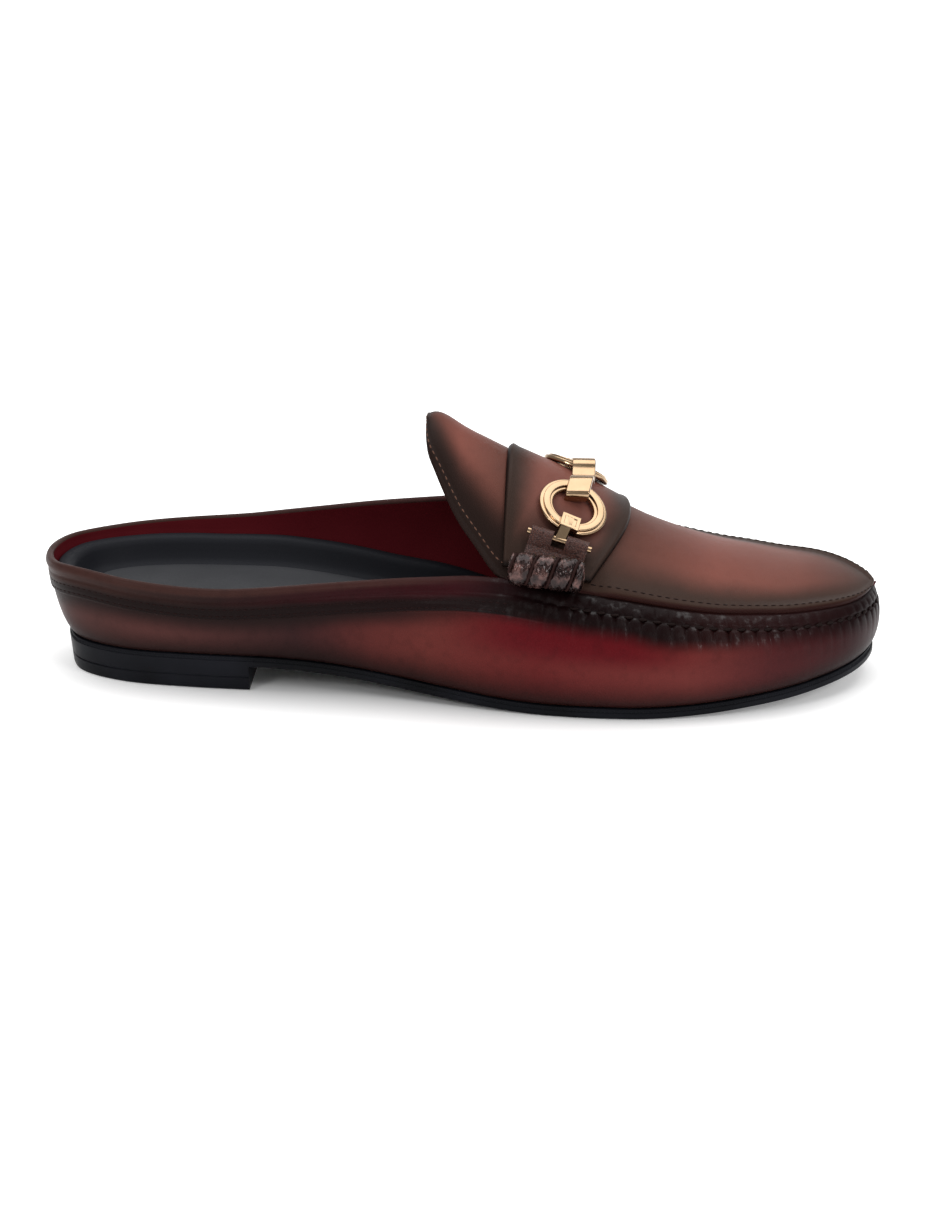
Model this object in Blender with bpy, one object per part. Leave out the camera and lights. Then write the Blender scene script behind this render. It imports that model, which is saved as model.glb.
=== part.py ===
"""Backless moccasin-toe loafer, right shoe, with a rim round the heel and a ring ornament on its strap.

Metres, +Z up, +X from heel to toe, outer side at -Y. The floor is at z = 0, and the origin is under the
middle of the whole shoe. The shoe is built on plan outlines and cross sections, as a last is drawn:
sole_top() is the height at which upper and sole meet, and every wall stands on it.
"""
import math

import bmesh
import bpy
import numpy as np

# Driving sizes
LENGTH = 0.298  # back of the rim to the toe
BALL_WIDTH = 0.1063  # outside, across the ball
HEEL_WIDTH = 0.0725  # outside, across the heel
WALL_RISE = 0.0294  # unit of the rim's height over the sole, near its height at the back
ARCH_RISE = 0.0319  # from the seam to the crown of the instep, at the throat
HEEL_PITCH = 0.0089  # from the floor to the waist, in front of the heel
TOE_SPRING = 0.0080  # from the floor to the sole, at the toe
SOLE_EDGE = 0.0036  # thickness of the sole's edge
HEEL_LENGTH = 0.0753  # back of the rim to the breast of the heel
FLAT_BACK = 0.182  # the sole lies flat on the floor from here
FLAT_FRONT = 0.210  # to here
THROAT = 0.1655  # where the apron's seam starts
TONGUE_LENGTH = 0.0308  # from the throat back to the tongue's tip
SEAM_INSET = 0.0123  # seam to the widest outline, across the ball
SOLE_INSET = 0.0040  # sole edge to the widest outline, across the ball
LEATHER = 0.0018  # upper with its lining
BAND_HEIGHT = 0.0105  # collar band
BAND_STEP = 0.0007  # the band stands out from the wall below it
SEAM_BAND = 0.0040  # gathered strip under the apron's lip
LIP_HEIGHT = 0.0012  # the apron's edge stands out over the gathered strip
LIP_BREADTH = 0.0045
LIP_ROUND = 0.0010  # rounding of the lip's edge
LIP_AHEAD = 0.0036  # the lip starts this far in front of the strap's front corners
LIP_GROWTH = 0.0060  # and reaches its full height over this length
LIP_FALL = 0.85  # share of the lip's height that is lost behind it
GROOVE = 0.0004  # depth of the stitched groove under the lip
FRONT_FADE = 0.024  # the collar band turns into the gathered strip over this length
BAND_EDGE = 0.025  # half breadth of the band's edges, as a share of the wall's height
RIM_ROUND = 0.35  # the rim is rounded by this share of the leather's thickness
CURL_ANGLE = 80  # degrees that the wall turns under, below its widest line
GAP = 0.0003  # between pieces that touch
SEAT = 0.0012  # the upper's edge lies this far inside the sole's edge
EDGE_ROUND = 0.0005  # small rounding of the sole's edges
EDGE_STEP = 0.0003  # step in the sole's edge
STEP_DEPTH = 0.45  # share of the sole's edge that lies over that step
HEEL_TAPER = 0.0011  # the heel narrows by this to the floor, each side

# Footbed
BED_HEIGHT = 0.0155  # over the sole, at the heel
BED_BALL = 0.0075  # over the sole, from the ball on
PAD_RISE = 0.0085  # its padded wall, over the bed
PAD_BREADTH = 0.0065
PAD_START = 0.135  # the padded wall starts to die out here
PAD_END = 0.190  # and has gone here
BED_CLEAR = 0.0010  # to the upper's lining
BED_LIFT = 0.0035  # the footbed's foot is widest this far over the sole
BED_TUCK = 0.0042  # its underside lies this far inside that
BED_ROUND = 0.0012  # rounding of its foot and of its padded wall
BED_RIM = 0.0040  # breadth of its rim where there is no padded wall
BED_WELT = 0.0022  # slope between the padded wall and the sunk line
BED_LINE = 0.0050  # the sunk line round the flat bed lies this far from the padded wall
BED_SINK = 0.0004  # depth of that line

# Strap and its rolled ends
STRAP_THICK = 0.0019
STRAP_ROUND = 0.45  # share of its thickness at its front and back edges
STRAP_BACK = 0.1650
STRAP_FRONT = 0.2082  # at the crown
STRAP_SWEEP = 0.0150  # its front edge runs back by this to the sides
STRAP_END = 0.0042  # from the seam to the strap's end
ROLL_RADIUS = 0.0057
ROLL_LENGTH = 0.0262
ROLL_MIDDLE = 0.1803
ROLL_ABOVE = 0.0016  # its middle lies this far up from the seam
ROLL_WRAPS = 3
WRAP_STEPS = 4  # rows of points to each turn of the cord
ROLL_BOUND = 0.82  # share of its length under the cord
ROLL_WAIST = 0.13  # the cord draws it in by this share of its radius

# Ornament
RING_RADIUS = 0.0123
RING_HOLE = 0.0075
RING_THICK = 0.0024
RING_STATION = 0.1876
RING_APART = 0.0006  # from a loop's end to its ring
LINK_WIDTH = 0.0082
LINK_THICK = 0.0014
ROD_RADIUS = 0.0011
ROD_END = 0.0012  # the rod stands out of the loop by this, each side
STEM_WIDTH = 0.0034
STEM_THICK = 0.0013
LOOP_WIDTH = 0.0205
LOOP_LENGTH = 0.0105
LOOP_THICK = 0.0018
LOOP_TAIL = 0.42  # share of its length where the fold comes down on it
LOOP_SLOT = 0.0048
FOLD_RADIUS = 0.0025
LOOP_STATION = 0.1812
SLOT_DEPTH = 0.0008  # of the loop's slot, past the fold

# Steps of the meshes
FRONT_STEPS = 24
BACK_STEPS = 22
TONGUE_STEPS = 9
RING_SIDES = 26
ROLL_SIDES = 12
TAU = 2 * math.pi

# Plan outline at the shoe's widest, toe first and round by the outer side. Along is a share of LENGTH,
# and the distance from the middle line is heel * HEEL_WIDTH + ball * BALL_WIDTH.
PLAN = [
    # along, heel, ball
    (1.000, 0.000, 0.019),
    (0.987, 0.000, -0.155),
    (0.963, 0.000, -0.268),
    (0.933, 0.000, -0.353),
    (0.896, 0.000, -0.428),
    (0.856, 0.000, -0.480),
    (0.812, 0.000, -0.523),
    (0.772, 0.000, -0.549),
    (0.732, 0.000, -0.564),
    (0.695, 0.000, -0.567),
    (0.654, 0.000, -0.562),
    (0.604, 0.000, -0.543),
    (0.554, 0.000, -0.513),
    (0.503, 0.000, -0.475),
    (0.453, -0.050, -0.403),
    (0.403, -0.140, -0.309),
    (0.352, -0.270, -0.197),
    (0.302, -0.400, -0.099),
    (0.252, -0.538, 0.000),
    (0.201, -0.528, 0.000),
    (0.151, -0.510, 0.000),
    (0.107, -0.483, 0.000),
    (0.067, -0.425, 0.000),
    (0.040, -0.359, 0.000),
    (0.020, -0.276, 0.000),
    (0.007, -0.166, 0.000),
    (0.000, 0.000, 0.000),
    (0.007, 0.166, 0.000),
    (0.020, 0.272, 0.000),
    (0.040, 0.352, 0.000),
    (0.067, 0.418, 0.000),
    (0.101, 0.465, 0.000),
    (0.141, 0.491, 0.000),
    (0.185, 0.500, 0.000),
    (0.235, 0.496, 0.000),
    (0.285, 0.380, 0.073),
    (0.336, 0.255, 0.149),
    (0.386, 0.130, 0.231),
    (0.436, 0.050, 0.290),
    (0.487, 0.000, 0.339),
    (0.537, 0.000, 0.362),
    (0.587, 0.000, 0.390),
    (0.638, 0.000, 0.414),
    (0.688, 0.000, 0.429),
    (0.732, 0.000, 0.433),
    (0.782, 0.000, 0.430),
    (0.832, 0.000, 0.414),
    (0.883, 0.000, 0.381),
    (0.926, 0.000, 0.325),
    (0.960, 0.000, 0.254),
    (0.984, 0.000, 0.172),
    (0.997, 0.000, 0.090),
]

# Heights over the sole along the shoe: rim and seam on the outer and inner side as shares of WALL_RISE,
# the crown over the seam as a share of ARCH_RISE, and the seam's inset as a share of SEAM_INSET.
SECTIONS = [
    # along, outer, inner, arch, inset
    (0.000, 0.920, 0.920, 0.000, 0.00),
    (0.034, 0.975, 0.905, 0.000, 0.00),
    (0.100, 0.940, 0.930, 0.000, 0.00),
    (0.168, 0.875, 0.975, 0.000, 0.00),
    (0.235, 0.865, 1.035, 0.000, 0.02),
    (0.309, 0.950, 1.165, 0.000, 0.07),
    (0.386, 1.115, 1.355, 0.000, 0.17),
    (0.459, 1.295, 1.530, 1.400, 0.38),
    (0.480, 1.340, 1.575, 1.385, 0.46),
    (0.503, 1.385, 1.612, 1.235, 0.57),
    (0.527, 1.412, 1.628, 1.115, 0.67),
    (0.554, 1.425, 1.622, 1.000, 0.78),
    (0.604, 1.390, 1.560, 0.835, 0.91),
    (0.651, 1.325, 1.476, 0.682, 0.98),
    (0.691, 1.275, 1.401, 0.531, 1.00),
    (0.732, 1.205, 1.300, 0.411, 1.00),
    (0.772, 1.125, 1.200, 0.322, 0.96),
    (0.812, 1.045, 1.100, 0.256, 0.88),
    (0.856, 0.970, 1.010, 0.200, 0.77),
    (0.896, 0.900, 0.930, 0.155, 0.65),
    (0.933, 0.835, 0.885, 0.112, 0.52),
    (0.966, 0.770, 0.810, 0.058, 0.37),
    (1.000, 0.695, 0.695, 0.000, 0.27),
]

# Form of the walls: height of the widest line as a share of the wall, inset of the sole's edge as a share
# of SOLE_INSET, and how straight the wall leans in below its widest line.
WALLS = [
    # along, bulge, sole, lean
    (0.000, 0.94, 1.62, 0.26),
    (0.060, 0.93, 1.35, 0.30),
    (0.150, 0.88, 1.05, 0.28),
    (0.252, 0.80, 0.85, 0.22),
    (0.380, 0.66, 0.75, 0.12),
    (0.520, 0.50, 0.80, 0.04),
    (0.700, 0.42, 0.95, 0.00),
    (0.860, 0.44, 0.90, 0.00),
    (1.000, 0.46, 0.50, 0.00),
]

# Tongue: its outline turns from the throat, 0, to the tip, 1. Breadth is a share of the apron's there.
TONGUE = [
    # turn, breadth
    (0.000, 1.000),
    (0.096, 0.968),
    (0.221, 0.872),
    (0.371, 0.764),
    (0.512, 0.645),
    (0.601, 0.567),
    (0.673, 0.505),
    (0.778, 0.420),
    (0.890, 0.265),
    (1.000, 0.060),
]

# Section of an ornament ring, as shares of its breadth from the hole and of its thickness
RING_PROFILE = [
    # across, height
    (0.00, 0.12),
    (0.00, 0.60),
    (0.30, 0.68),
    (0.39, 1.00),
    (0.85, 1.00),
    (1.00, 0.60),
    (0.96, 0.08),
    (0.30, 0.00),
]


def curve(rows, column):
    """Smooth curve through one column of a table, against its first column."""
    x = np.array([row[0] for row in rows], float)
    y = np.array([row[column] for row in rows], float)
    step = np.diff(x)
    size = len(x)
    matrix = np.zeros((size, size))
    right = np.zeros(size)
    matrix[0, :2] = 2, 1
    right[0] = 3 * (y[1] - y[0]) / step[0]
    matrix[-1, -2:] = 1, 2
    right[-1] = 3 * (y[-1] - y[-2]) / step[-1]
    for i in range(1, size - 1):
        matrix[i, i - 1 : i + 2] = step[i], 2 * (step[i - 1] + step[i]), step[i - 1]
        before = step[i] * (y[i] - y[i - 1]) / step[i - 1]
        after = step[i - 1] * (y[i + 1] - y[i]) / step[i]
        right[i] = 3 * (before + after)
    slope = np.linalg.solve(matrix, right)

    def value(at):
        at = np.clip(at, x[0], x[-1])
        i = np.clip(np.searchsorted(x, at) - 1, 0, size - 2)
        h = step[i]
        t = (at - x[i]) / h
        first = (1 + 2 * t) * (1 - t) ** 2 * y[i] + t * (1 - t) ** 2 * h * slope[i]
        return first + t * t * (3 - 2 * t) * y[i + 1] + t * t * (t - 1) * h * slope[i + 1]

    return value


outer_rise, inner_rise, arch_rise, seam_inset = (curve(SECTIONS, n) for n in range(1, 5))
bulge_height, sole_inset, wall_lean = (curve(WALLS, n) for n in range(1, 4))
tongue_breadth = curve(TONGUE, 1)


def smoothstep(t):
    t = np.clip(t, 0, 1)
    return t * t * (3 - 2 * t)


def underside(x):
    """Height of the sole's underside: pitched waist, flat ball, toe spring."""
    waist = HEEL_PITCH * smoothstep((FLAT_BACK - x) / (FLAT_BACK - HEEL_LENGTH))
    toe = TOE_SPRING * np.clip((x - FLAT_FRONT) / (LENGTH - FLAT_FRONT), 0, None) ** 1.6
    return waist + toe


def sole_top(x):
    return underside(x) + SOLE_EDGE


class Outline:
    """Points round the plan outline: toe tip first, back along the outer side, forward along the inner."""

    def __init__(self, stops):
        """stops: (station to pass through, steps up to it), from the toe to the heel's tip."""
        rows = [(row[0] * LENGTH, row[1] * HEEL_WIDTH + row[2] * BALL_WIDTH) for row in PLAN]
        dense = self.closed_curve(np.array(rows), 24)
        heel = int(np.argmin(dense[:, 0]))
        toe = int(np.argmax(dense[:, 0]))
        around = np.roll(dense, -toe, axis=0)
        heel = (heel - toe) % len(dense)
        outer = around[: heel + 1]
        inner = np.vstack([around[heel:], around[:1]])[::-1]
        self.half = sum(steps for _, steps in stops)
        picked = [self.sample(side, stops) for side in (outer, inner)]
        xy = np.vstack([picked[0], picked[1][-2:0:-1]])
        self.x, self.y = xy.T
        self.count = len(xy)
        along = np.roll(xy, -1, axis=0) - np.roll(xy, 1, axis=0)
        normal = np.stack([along[:, 1], -along[:, 0]], 1)
        normal /= np.linalg.norm(normal, axis=1)[:, None]
        self.normal = normal * np.sign(normal[0, 0])
        self.outer = np.arange(self.count) <= self.half

    @staticmethod
    def closed_curve(points, steps):
        """Closed curve with even curvature: a periodic spline over the chord lengths."""
        count = len(points)
        chord = np.linalg.norm(np.roll(points, -1, axis=0) - points, axis=1)
        before = np.roll(chord, 1)
        matrix = np.zeros((count, count))
        for i in range(count):
            matrix[i, i - 1] = chord[i]
            matrix[i, i] = 2 * (before[i] + chord[i])
            matrix[i, (i + 1) % count] = before[i]
        ahead = (np.roll(points, -1, axis=0) - points) / chord[:, None]
        back = np.roll(ahead, 1, axis=0)
        right = 3 * (chord[:, None] * back + before[:, None] * ahead)
        slope = np.linalg.solve(matrix, right)
        out = []
        for i in range(count):
            n = (i + 1) % count
            t = np.linspace(0, 1, steps, endpoint=False)[:, None]
            start = (1 + 2 * t) * (1 - t) ** 2 * points[i] + t * (1 - t) ** 2 * chord[i] * slope[i]
            end = t * t * (3 - 2 * t) * points[n] + t * t * (t - 1) * chord[i] * slope[n]
            out.append(start + end)
        return np.vstack(out)

    @staticmethod
    def sample(side, stops):
        """Evenly spaced points between the stops, along one side from toe to heel."""
        length = np.r_[0, np.cumsum(np.linalg.norm(np.diff(side, axis=0), axis=1))]
        at = [np.zeros(1)]
        for station, steps in stops:
            passed = np.interp(-station, -side[:, 0], length) if station else length[-1]
            at.append(np.linspace(at[-1][-1], passed, steps + 1)[1:])
        at = np.concatenate(at)
        return np.stack([np.interp(at, length, side[:, n]) for n in range(2)], 1)

    def inset(self, distance):
        """Plan points moved in from the widest outline."""
        return np.stack([self.x, self.y], 1) - self.normal * np.broadcast_to(distance, self.x.shape)[:, None]

    def rise(self):
        """Height of the wall over the sole, at every point."""
        share = self.x / LENGTH
        return WALL_RISE * np.where(self.outer, outer_rise(share), inner_rise(share))

    def wall(self, height):
        """Points of the upper's plain outside at a share of the wall's height."""
        share = self.x / LENGTH
        bulge = bulge_height(share)
        tuck = SOLE_INSET * sole_inset(share) + SEAT
        lean = wall_lean(share)
        below = np.clip((bulge - height) / bulge, 0, 1)
        above = np.clip((height - bulge) / (1 - bulge), 0, 1)
        turn = math.radians(CURL_ANGLE)
        curl = 1 - np.sqrt(1 - (math.sin(turn) * below) ** 2)
        curl /= 1 - math.cos(turn)
        inward = tuck * (lean * below + (1 - lean) * curl)
        inward += SEAM_INSET * seam_inset(share) * above**2.5
        z = sole_top(self.x) + GAP + (self.rise() - GAP) * height
        return np.column_stack([self.inset(inward), z])


class Mesh:
    """A growing list of points and faces."""

    def __init__(self):
        self.points = []
        self.faces = []

    def add(self, points):
        first = len(self.points)
        self.points.extend(np.asarray(points, float).reshape(-1, 3))
        return np.arange(first, len(self.points))

    def strip(self, one, two, closed=False):
        """Quads between two rows of the same length."""
        count = len(one)
        for i in range(count if closed else count - 1):
            n = (i + 1) % count
            self.faces.append((one[i], one[n], two[n], two[i]))

    def fan(self, tip, row):
        for i in range(len(row) - 1):
            self.faces.append((tip, row[i + 1], row[i]))

    def close_across(self, ring, flip):
        """Fills a ring whose points pair off across the shoe's middle line."""
        half = len(ring) // 2
        left = ring[: half + 1]
        right = np.r_[ring[0], ring[: half - 1 : -1]]
        for i in range(half):
            face = [left[i], left[i + 1], right[i + 1], right[i]]
            face = list(dict.fromkeys(face))
            self.faces.append(face[::-1] if flip else face)


def material(name, color, roughness, metallic=0.0):
    made = bpy.data.materials.new(name)
    made.use_nodes = True
    shader = made.node_tree.nodes["Principled BSDF"]
    shader.inputs["Base Color"].default_value = (*color, 1)
    shader.inputs["Roughness"].default_value = roughness
    shader.inputs["Metallic"].default_value = metallic
    made.diffuse_color = (*color, 1)
    return made


def solid(name, mesh, look, sharp=40):
    """Makes a named object of a closed mesh, with its faces turned out."""
    data = bpy.data.meshes.new(name)
    points = np.array(mesh.points)
    data.from_pydata([tuple(p) for p in points], [], [tuple(int(i) for i in f) for f in mesh.faces])
    work = bmesh.new()
    work.from_mesh(data)
    bmesh.ops.remove_doubles(work, verts=work.verts, dist=1e-6)
    bmesh.ops.dissolve_degenerate(work, edges=work.edges, dist=1e-6)
    bmesh.ops.recalc_face_normals(work, faces=work.faces)
    if work.calc_volume(signed=True) < 0:
        bmesh.ops.reverse_faces(work, faces=work.faces)
    work.to_mesh(data)
    work.free()
    data.shade_smooth()
    data.set_sharp_from_angle(angle=math.radians(sharp))
    data.materials.append(look)
    made = bpy.data.objects.new(name, data)
    bpy.context.scene.collection.objects.link(made)
    return made


def unit(v):
    v = np.asarray(v, float)
    return v / np.linalg.norm(v, axis=-1, keepdims=True)


def point_normals(points, faces):
    """Normals at the points of an open sheet, weighted by area."""
    total = np.zeros_like(points)
    for face in faces:
        a, b, c = points[face[0]], points[face[1]], points[face[2]]
        d = points[face[-1]]
        normal = np.cross(c - a, d - b)
        for corner in face:
            total[corner] += normal
    return unit(total)


rim_line = Outline([(THROAT, 120), (0, 120)])
rim_points = rim_line.wall(1.0)


def rim_at(x, outer):
    """Point of the rim or seam line at a station, on the outer or inner side."""
    half = rim_line.half
    side = rim_points[: half + 1] if outer else np.vstack([rim_points[half:], rim_points[:1]])[::-1]
    order = np.argsort(side[:, 0])
    y = np.interp(x, side[order, 0], side[order, 1])
    z = np.interp(x, side[order, 0], side[order, 2])
    return np.stack([np.broadcast_to(x, np.shape(y)), y, z], -1)


def arched(left, right, across):
    """Point of the apron: across runs from -1 at the outer seam to 1 at the inner seam."""
    base = left * (1 - across) / 2 + right * (1 + across) / 2
    crown = ARCH_RISE * arch_rise(base[..., 0:1] / LENGTH)
    lift = crown * (1 - across**2)
    return base + lift * np.array([0, 0, 1.0])


def apron(x, across):
    """Point of the apron or tongue at a station."""
    x, across = np.broadcast_arrays(np.asarray(x, float), np.asarray(across, float))
    return arched(rim_at(x, True), rim_at(x, False), across[..., None])


def apron_normal(x, across):
    d = 1e-4
    along = apron(np.asarray(x) + d, across) - apron(np.asarray(x) - d, across)
    over = apron(x, np.asarray(across) + d) - apron(x, np.asarray(across) - d)
    return unit(np.cross(along, over))


def above_apron(x, across, height):
    return apron(x, across) + apron_normal(x, across) * np.asarray(height)[..., None]


def across_shares(breadth):
    """Shares from -1 to 1 for a row of the apron: close together at the lip, even in the middle."""
    rows = np.array([0.0, 0.18, 0.44, 1.0, 2.0]) * LIP_BREADTH
    narrow = min(1.0, breadth / (10 * LIP_BREADTH))
    edge = rows * narrow / (breadth / 2)
    middle = np.linspace(-1 + edge[-1], 1 - edge[-1], 7)[1:-1]
    return np.r_[-1 + edge, middle, (1 - edge)[::-1]]


def build_upper(look):
    """Tub, collar band, seam ridge, apron and tongue as one hollow wall."""
    ring = Outline([(THROAT, FRONT_STEPS), (0, BACK_STEPS)])
    front = smoothstep((ring.x - THROAT) / FRONT_FADE)
    band = BAND_HEIGHT + (SEAM_BAND - BAND_HEIGHT) * front
    band_share = 1 - band / ring.rise()
    heights = [band_share * share for share in (0, 0.015, 0.05, 0.12, 0.25, 0.42, 0.62, 0.82)]
    heights += [band_share - BAND_EDGE, band_share + BAND_EDGE]
    heights += [(1 + band_share) / 2 + BAND_EDGE, np.ones(ring.count)]
    step = np.full(ring.count, BAND_STEP)
    groove = -GROOVE * front
    details = [np.zeros(ring.count)] * 9 + [step, step, step * (1 - front) + groove]
    sheet = Mesh()
    detail = []
    rows = []
    for height, out in zip(heights, details):
        rows.append(sheet.add(ring.wall(height)))
        detail.extend(out)
    for low, high in zip(rows, rows[1:]):
        sheet.strip(low, high, closed=True)

    def lip_at(x, breadth, across):
        """How far the apron's edge stands out, at each point of a row."""
        distance = (1 - np.abs(across)) * breadth / 2
        edge_round = np.clip(distance / LIP_ROUND, 0, 1)
        inward = smoothstep((distance - 2 * LIP_ROUND) / LIP_BREADTH)
        ahead = x - (STRAP_FRONT - STRAP_SWEEP + LIP_AHEAD)
        return LIP_HEIGHT * edge_round * (1 - LIP_FALL * inward) * smoothstep(ahead / LIP_GROWTH)

    top = rows[-1]
    lines = []
    for k in range(1, FRONT_STEPS + 1):
        left, right = sheet.points[top[k]], sheet.points[top[-k]]
        breadth = np.linalg.norm(right - left)
        across = across_shares(breadth)[1:-1]
        inside = sheet.add(arched(left, right, across[:, None]))
        detail.extend(lip_at((left[0] + right[0]) / 2, breadth, across))
        lines.append(np.r_[top[k], inside, top[-k]])
    sheet.fan(top[0], lines[0][::-1])
    throat = (left[0] + right[0]) / 2
    for turn in np.linspace(0, 1, TONGUE_STEPS + 1)[1:]:
        x = throat - TONGUE_LENGTH * math.sin(turn * TAU / 4)
        left, right = rim_at(x, True), rim_at(x, False)
        breadth = (right[1] - left[1]) * tongue_breadth(turn)
        across = across_shares(breadth) * tongue_breadth(turn)
        lines.append(sheet.add(arched(left, right, across[:, None])))
        detail.extend(np.zeros(len(across)))
    for one, two in zip(lines, lines[1:]):
        sheet.strip(two, one)

    points = np.array(sheet.points)
    normals = point_normals(points, sheet.faces)
    if normals[rows[4][0]][0] < 0:
        normals = -normals
    back = range(FRONT_STEPS, ring.count - FRONT_STEPS + 1)
    tongue = lines[FRONT_STEPS:]
    mouth = [top[i] for i in back] + [line[-1] for line in tongue]
    mouth += list(tongue[-1][-2::-1]) + [line[0] for line in tongue[-2::-1]]
    outside = points + normals * np.array(detail)[:, None]
    inside = points - normals * LEATHER
    inside[rows[0], 2] = outside[rows[0], 2]
    body = Mesh()
    out = body.add(outside)
    inn = body.add(inside)
    body.faces += [tuple(out[list(face)]) for face in sheet.faces]
    body.faces += [tuple(inn[list(face)][::-1]) for face in sheet.faces]
    body.strip(inn[rows[0]], out[rows[0]], closed=True)
    rim_out, rim_in = out[mouth], inn[mouth]
    middle = (outside[mouth] + inside[mouth]) / 2
    onward = np.roll(middle, -1, axis=0) - np.roll(middle, 1, axis=0)
    away = unit(np.cross(onward, outside[mouth] - inside[mouth]))
    inner_row = points[[rows[-2][i] for i in back][len(back) // 2]]
    if np.dot(away[len(back) // 2], middle[len(back) // 2] - inner_row) < 0:
        away = -away
    ridge = body.add(middle + away * LEATHER * RIM_ROUND)
    body.strip(rim_out, ridge, closed=True)
    body.strip(ridge, rim_in, closed=True)
    return solid("upper", body, look)


def build_outsole(look):
    """Sole and heel in one: edge with a fine step, flat ball, arched waist and a low heel."""
    stops = [(FLAT_FRONT, 18), (FLAT_BACK, 4), (HEEL_LENGTH, 12), (0, 14)]
    ring = Outline(stops)
    breast = sum(steps for _, steps in stops[:-1])
    order = list(range(ring.count))
    other = ring.count - breast
    order = order[: breast + 1] + order[breast : other + 1] + order[other:]
    heel = np.zeros(len(order), bool)
    heel[breast + 1 : other + 2] = True
    inset = SOLE_INSET * sole_inset(ring.x / LENGTH)
    taper = np.where(heel, HEEL_TAPER, 0)
    low = np.where(heel, 0, underside(ring.x[order]))
    top = sole_top(ring.x[order])
    middle = top - SOLE_EDGE * STEP_DEPTH
    body = Mesh()

    def level(extra, z):
        plan = np.stack([ring.x, ring.y], 1)[order]
        return body.add(np.column_stack([plan - ring.normal[order] * (inset[order] + extra)[:, None], z]))

    none = np.zeros(len(order))
    rings = [
        level(taper + EDGE_ROUND, low),
        level(taper, low + EDGE_ROUND),
        level(none, middle),
        level(none + EDGE_STEP, middle + EDGE_STEP),
        level(none + EDGE_STEP, top - EDGE_ROUND),
        level(none + EDGE_STEP + EDGE_ROUND, top),
    ]
    for one, two in zip(rings, rings[1:]):
        body.strip(one, two, closed=True)
    body.close_across(rings[0], flip=True)
    body.close_across(rings[-1], flip=False)
    return solid("outsole", body, look, sharp=30)


def build_insole(look):
    """Footbed with a padded wall round the heel and waist, which dies out before the ball."""
    ring = Outline([(FLAT_FRONT, 9), (THROAT, 6), (0, 17)])
    fade = 1 - smoothstep((ring.x - PAD_START) / (PAD_END - PAD_START))
    low = smoothstep((ring.x - HEEL_LENGTH) / (FLAT_FRONT - HEEL_LENGTH))
    base = sole_top(ring.x) + GAP
    bed = sole_top(ring.x) + BED_HEIGHT + (BED_BALL - BED_HEIGHT) * low
    pad = bed + PAD_RISE * fade
    rise = ring.rise()

    def lining(z, clear):
        """Points inside the lining at given heights."""
        height = (z - sole_top(ring.x)) / rise
        here = ring.wall(height)
        up = ring.wall(np.clip(height + 0.02, 0, 1)) - ring.wall(height - 0.02)
        along = np.roll(here, -1, axis=0) - np.roll(here, 1, axis=0)
        normal = unit(np.cross(up, along))
        steep = np.linalg.norm(normal[:, :2], axis=1)
        inward = (LEATHER + clear) / np.maximum(steep, 0.5)
        return np.column_stack([here[:, :2] - ring.normal * inward[:, None], z])

    def inward(points, distance, z):
        moved = points.copy()
        moved[:, :2] -= ring.normal * np.broadcast_to(distance, fade.shape)[:, None]
        moved[:, 2] = z
        return moved

    foot = lining(base + BED_LIFT, BED_CLEAR)
    crest = lining(pad - BED_ROUND, BED_CLEAR)
    breadth = BED_RIM + (PAD_BREADTH - BED_RIM) * fade
    rings = [
        inward(foot, BED_TUCK, base),
        inward(foot, BED_ROUND, base + BED_LIFT / 2),
        lining((base + pad) / 2, BED_CLEAR),
        crest,
        inward(crest, BED_ROUND, pad),
        inward(crest, (BED_ROUND + breadth) / 2, pad),
        inward(crest, breadth, bed + (pad - bed) * 0.35),
        inward(crest, breadth + BED_WELT, bed),
        inward(crest, breadth + BED_LINE, bed - BED_SINK),
        inward(crest, breadth + BED_LINE + 2 * BED_SINK, bed + BED_SINK),
    ]
    body = Mesh()
    rows = [body.add(row) for row in rings]
    for one, two in zip(rows, rows[1:]):
        body.strip(one, two, closed=True)
    body.close_across(rows[0], flip=True)
    body.close_across(rows[-1], flip=False)
    return solid("insole", body, look, sharp=50)


def strap_front(across):
    return STRAP_FRONT - STRAP_SWEEP * np.abs(across) ** 2.2


def strap_shares(x):
    """Across share of the strap's end, at a station."""
    left, right = rim_at(x, True), rim_at(x, False)
    slope = 4 * ARCH_RISE * float(arch_rise(x / LENGTH)) / (right[1] - left[1])
    return 1 - STRAP_END / math.hypot(1, slope) * 2 / (right[1] - left[1])


def build_strap(look):
    """Leather strap across the instep, lying on the apron."""
    end = strap_shares(ROLL_MIDDLE)
    over = np.linspace(-end, end, 21)
    lengthwise = np.r_[0.0, 0.035, np.linspace(0.16, 0.84, 5), 0.965, 1.0]
    body = Mesh()
    tops, bottoms = [], []
    for across in over:
        front = strap_front(across)
        x = STRAP_BACK + (front - STRAP_BACK) * lengthwise
        share = np.full(len(x), across)
        rounded = np.array([STRAP_ROUND] + [1.0] * (len(x) - 2) + [STRAP_ROUND])
        tops.append(body.add(above_apron(x, share, GAP + STRAP_THICK * rounded)))
        bottoms.append(body.add(above_apron(x, share, np.full(len(x), GAP))))
    for one, two in zip(tops, tops[1:]):
        body.strip(one, two)
    for one, two in zip(bottoms, bottoms[1:]):
        body.strip(two, one)
    for rail in (0, -1):
        body.strip([t[rail] for t in tops], [b[rail] for b in bottoms])
        body.strip(tops[rail], bottoms[rail])
    return solid("saddle_strap", body, look)


def strap_top(x, across, extra=0.0):
    return above_apron(x, across, np.asarray(GAP + STRAP_THICK + GAP + extra))


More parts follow.
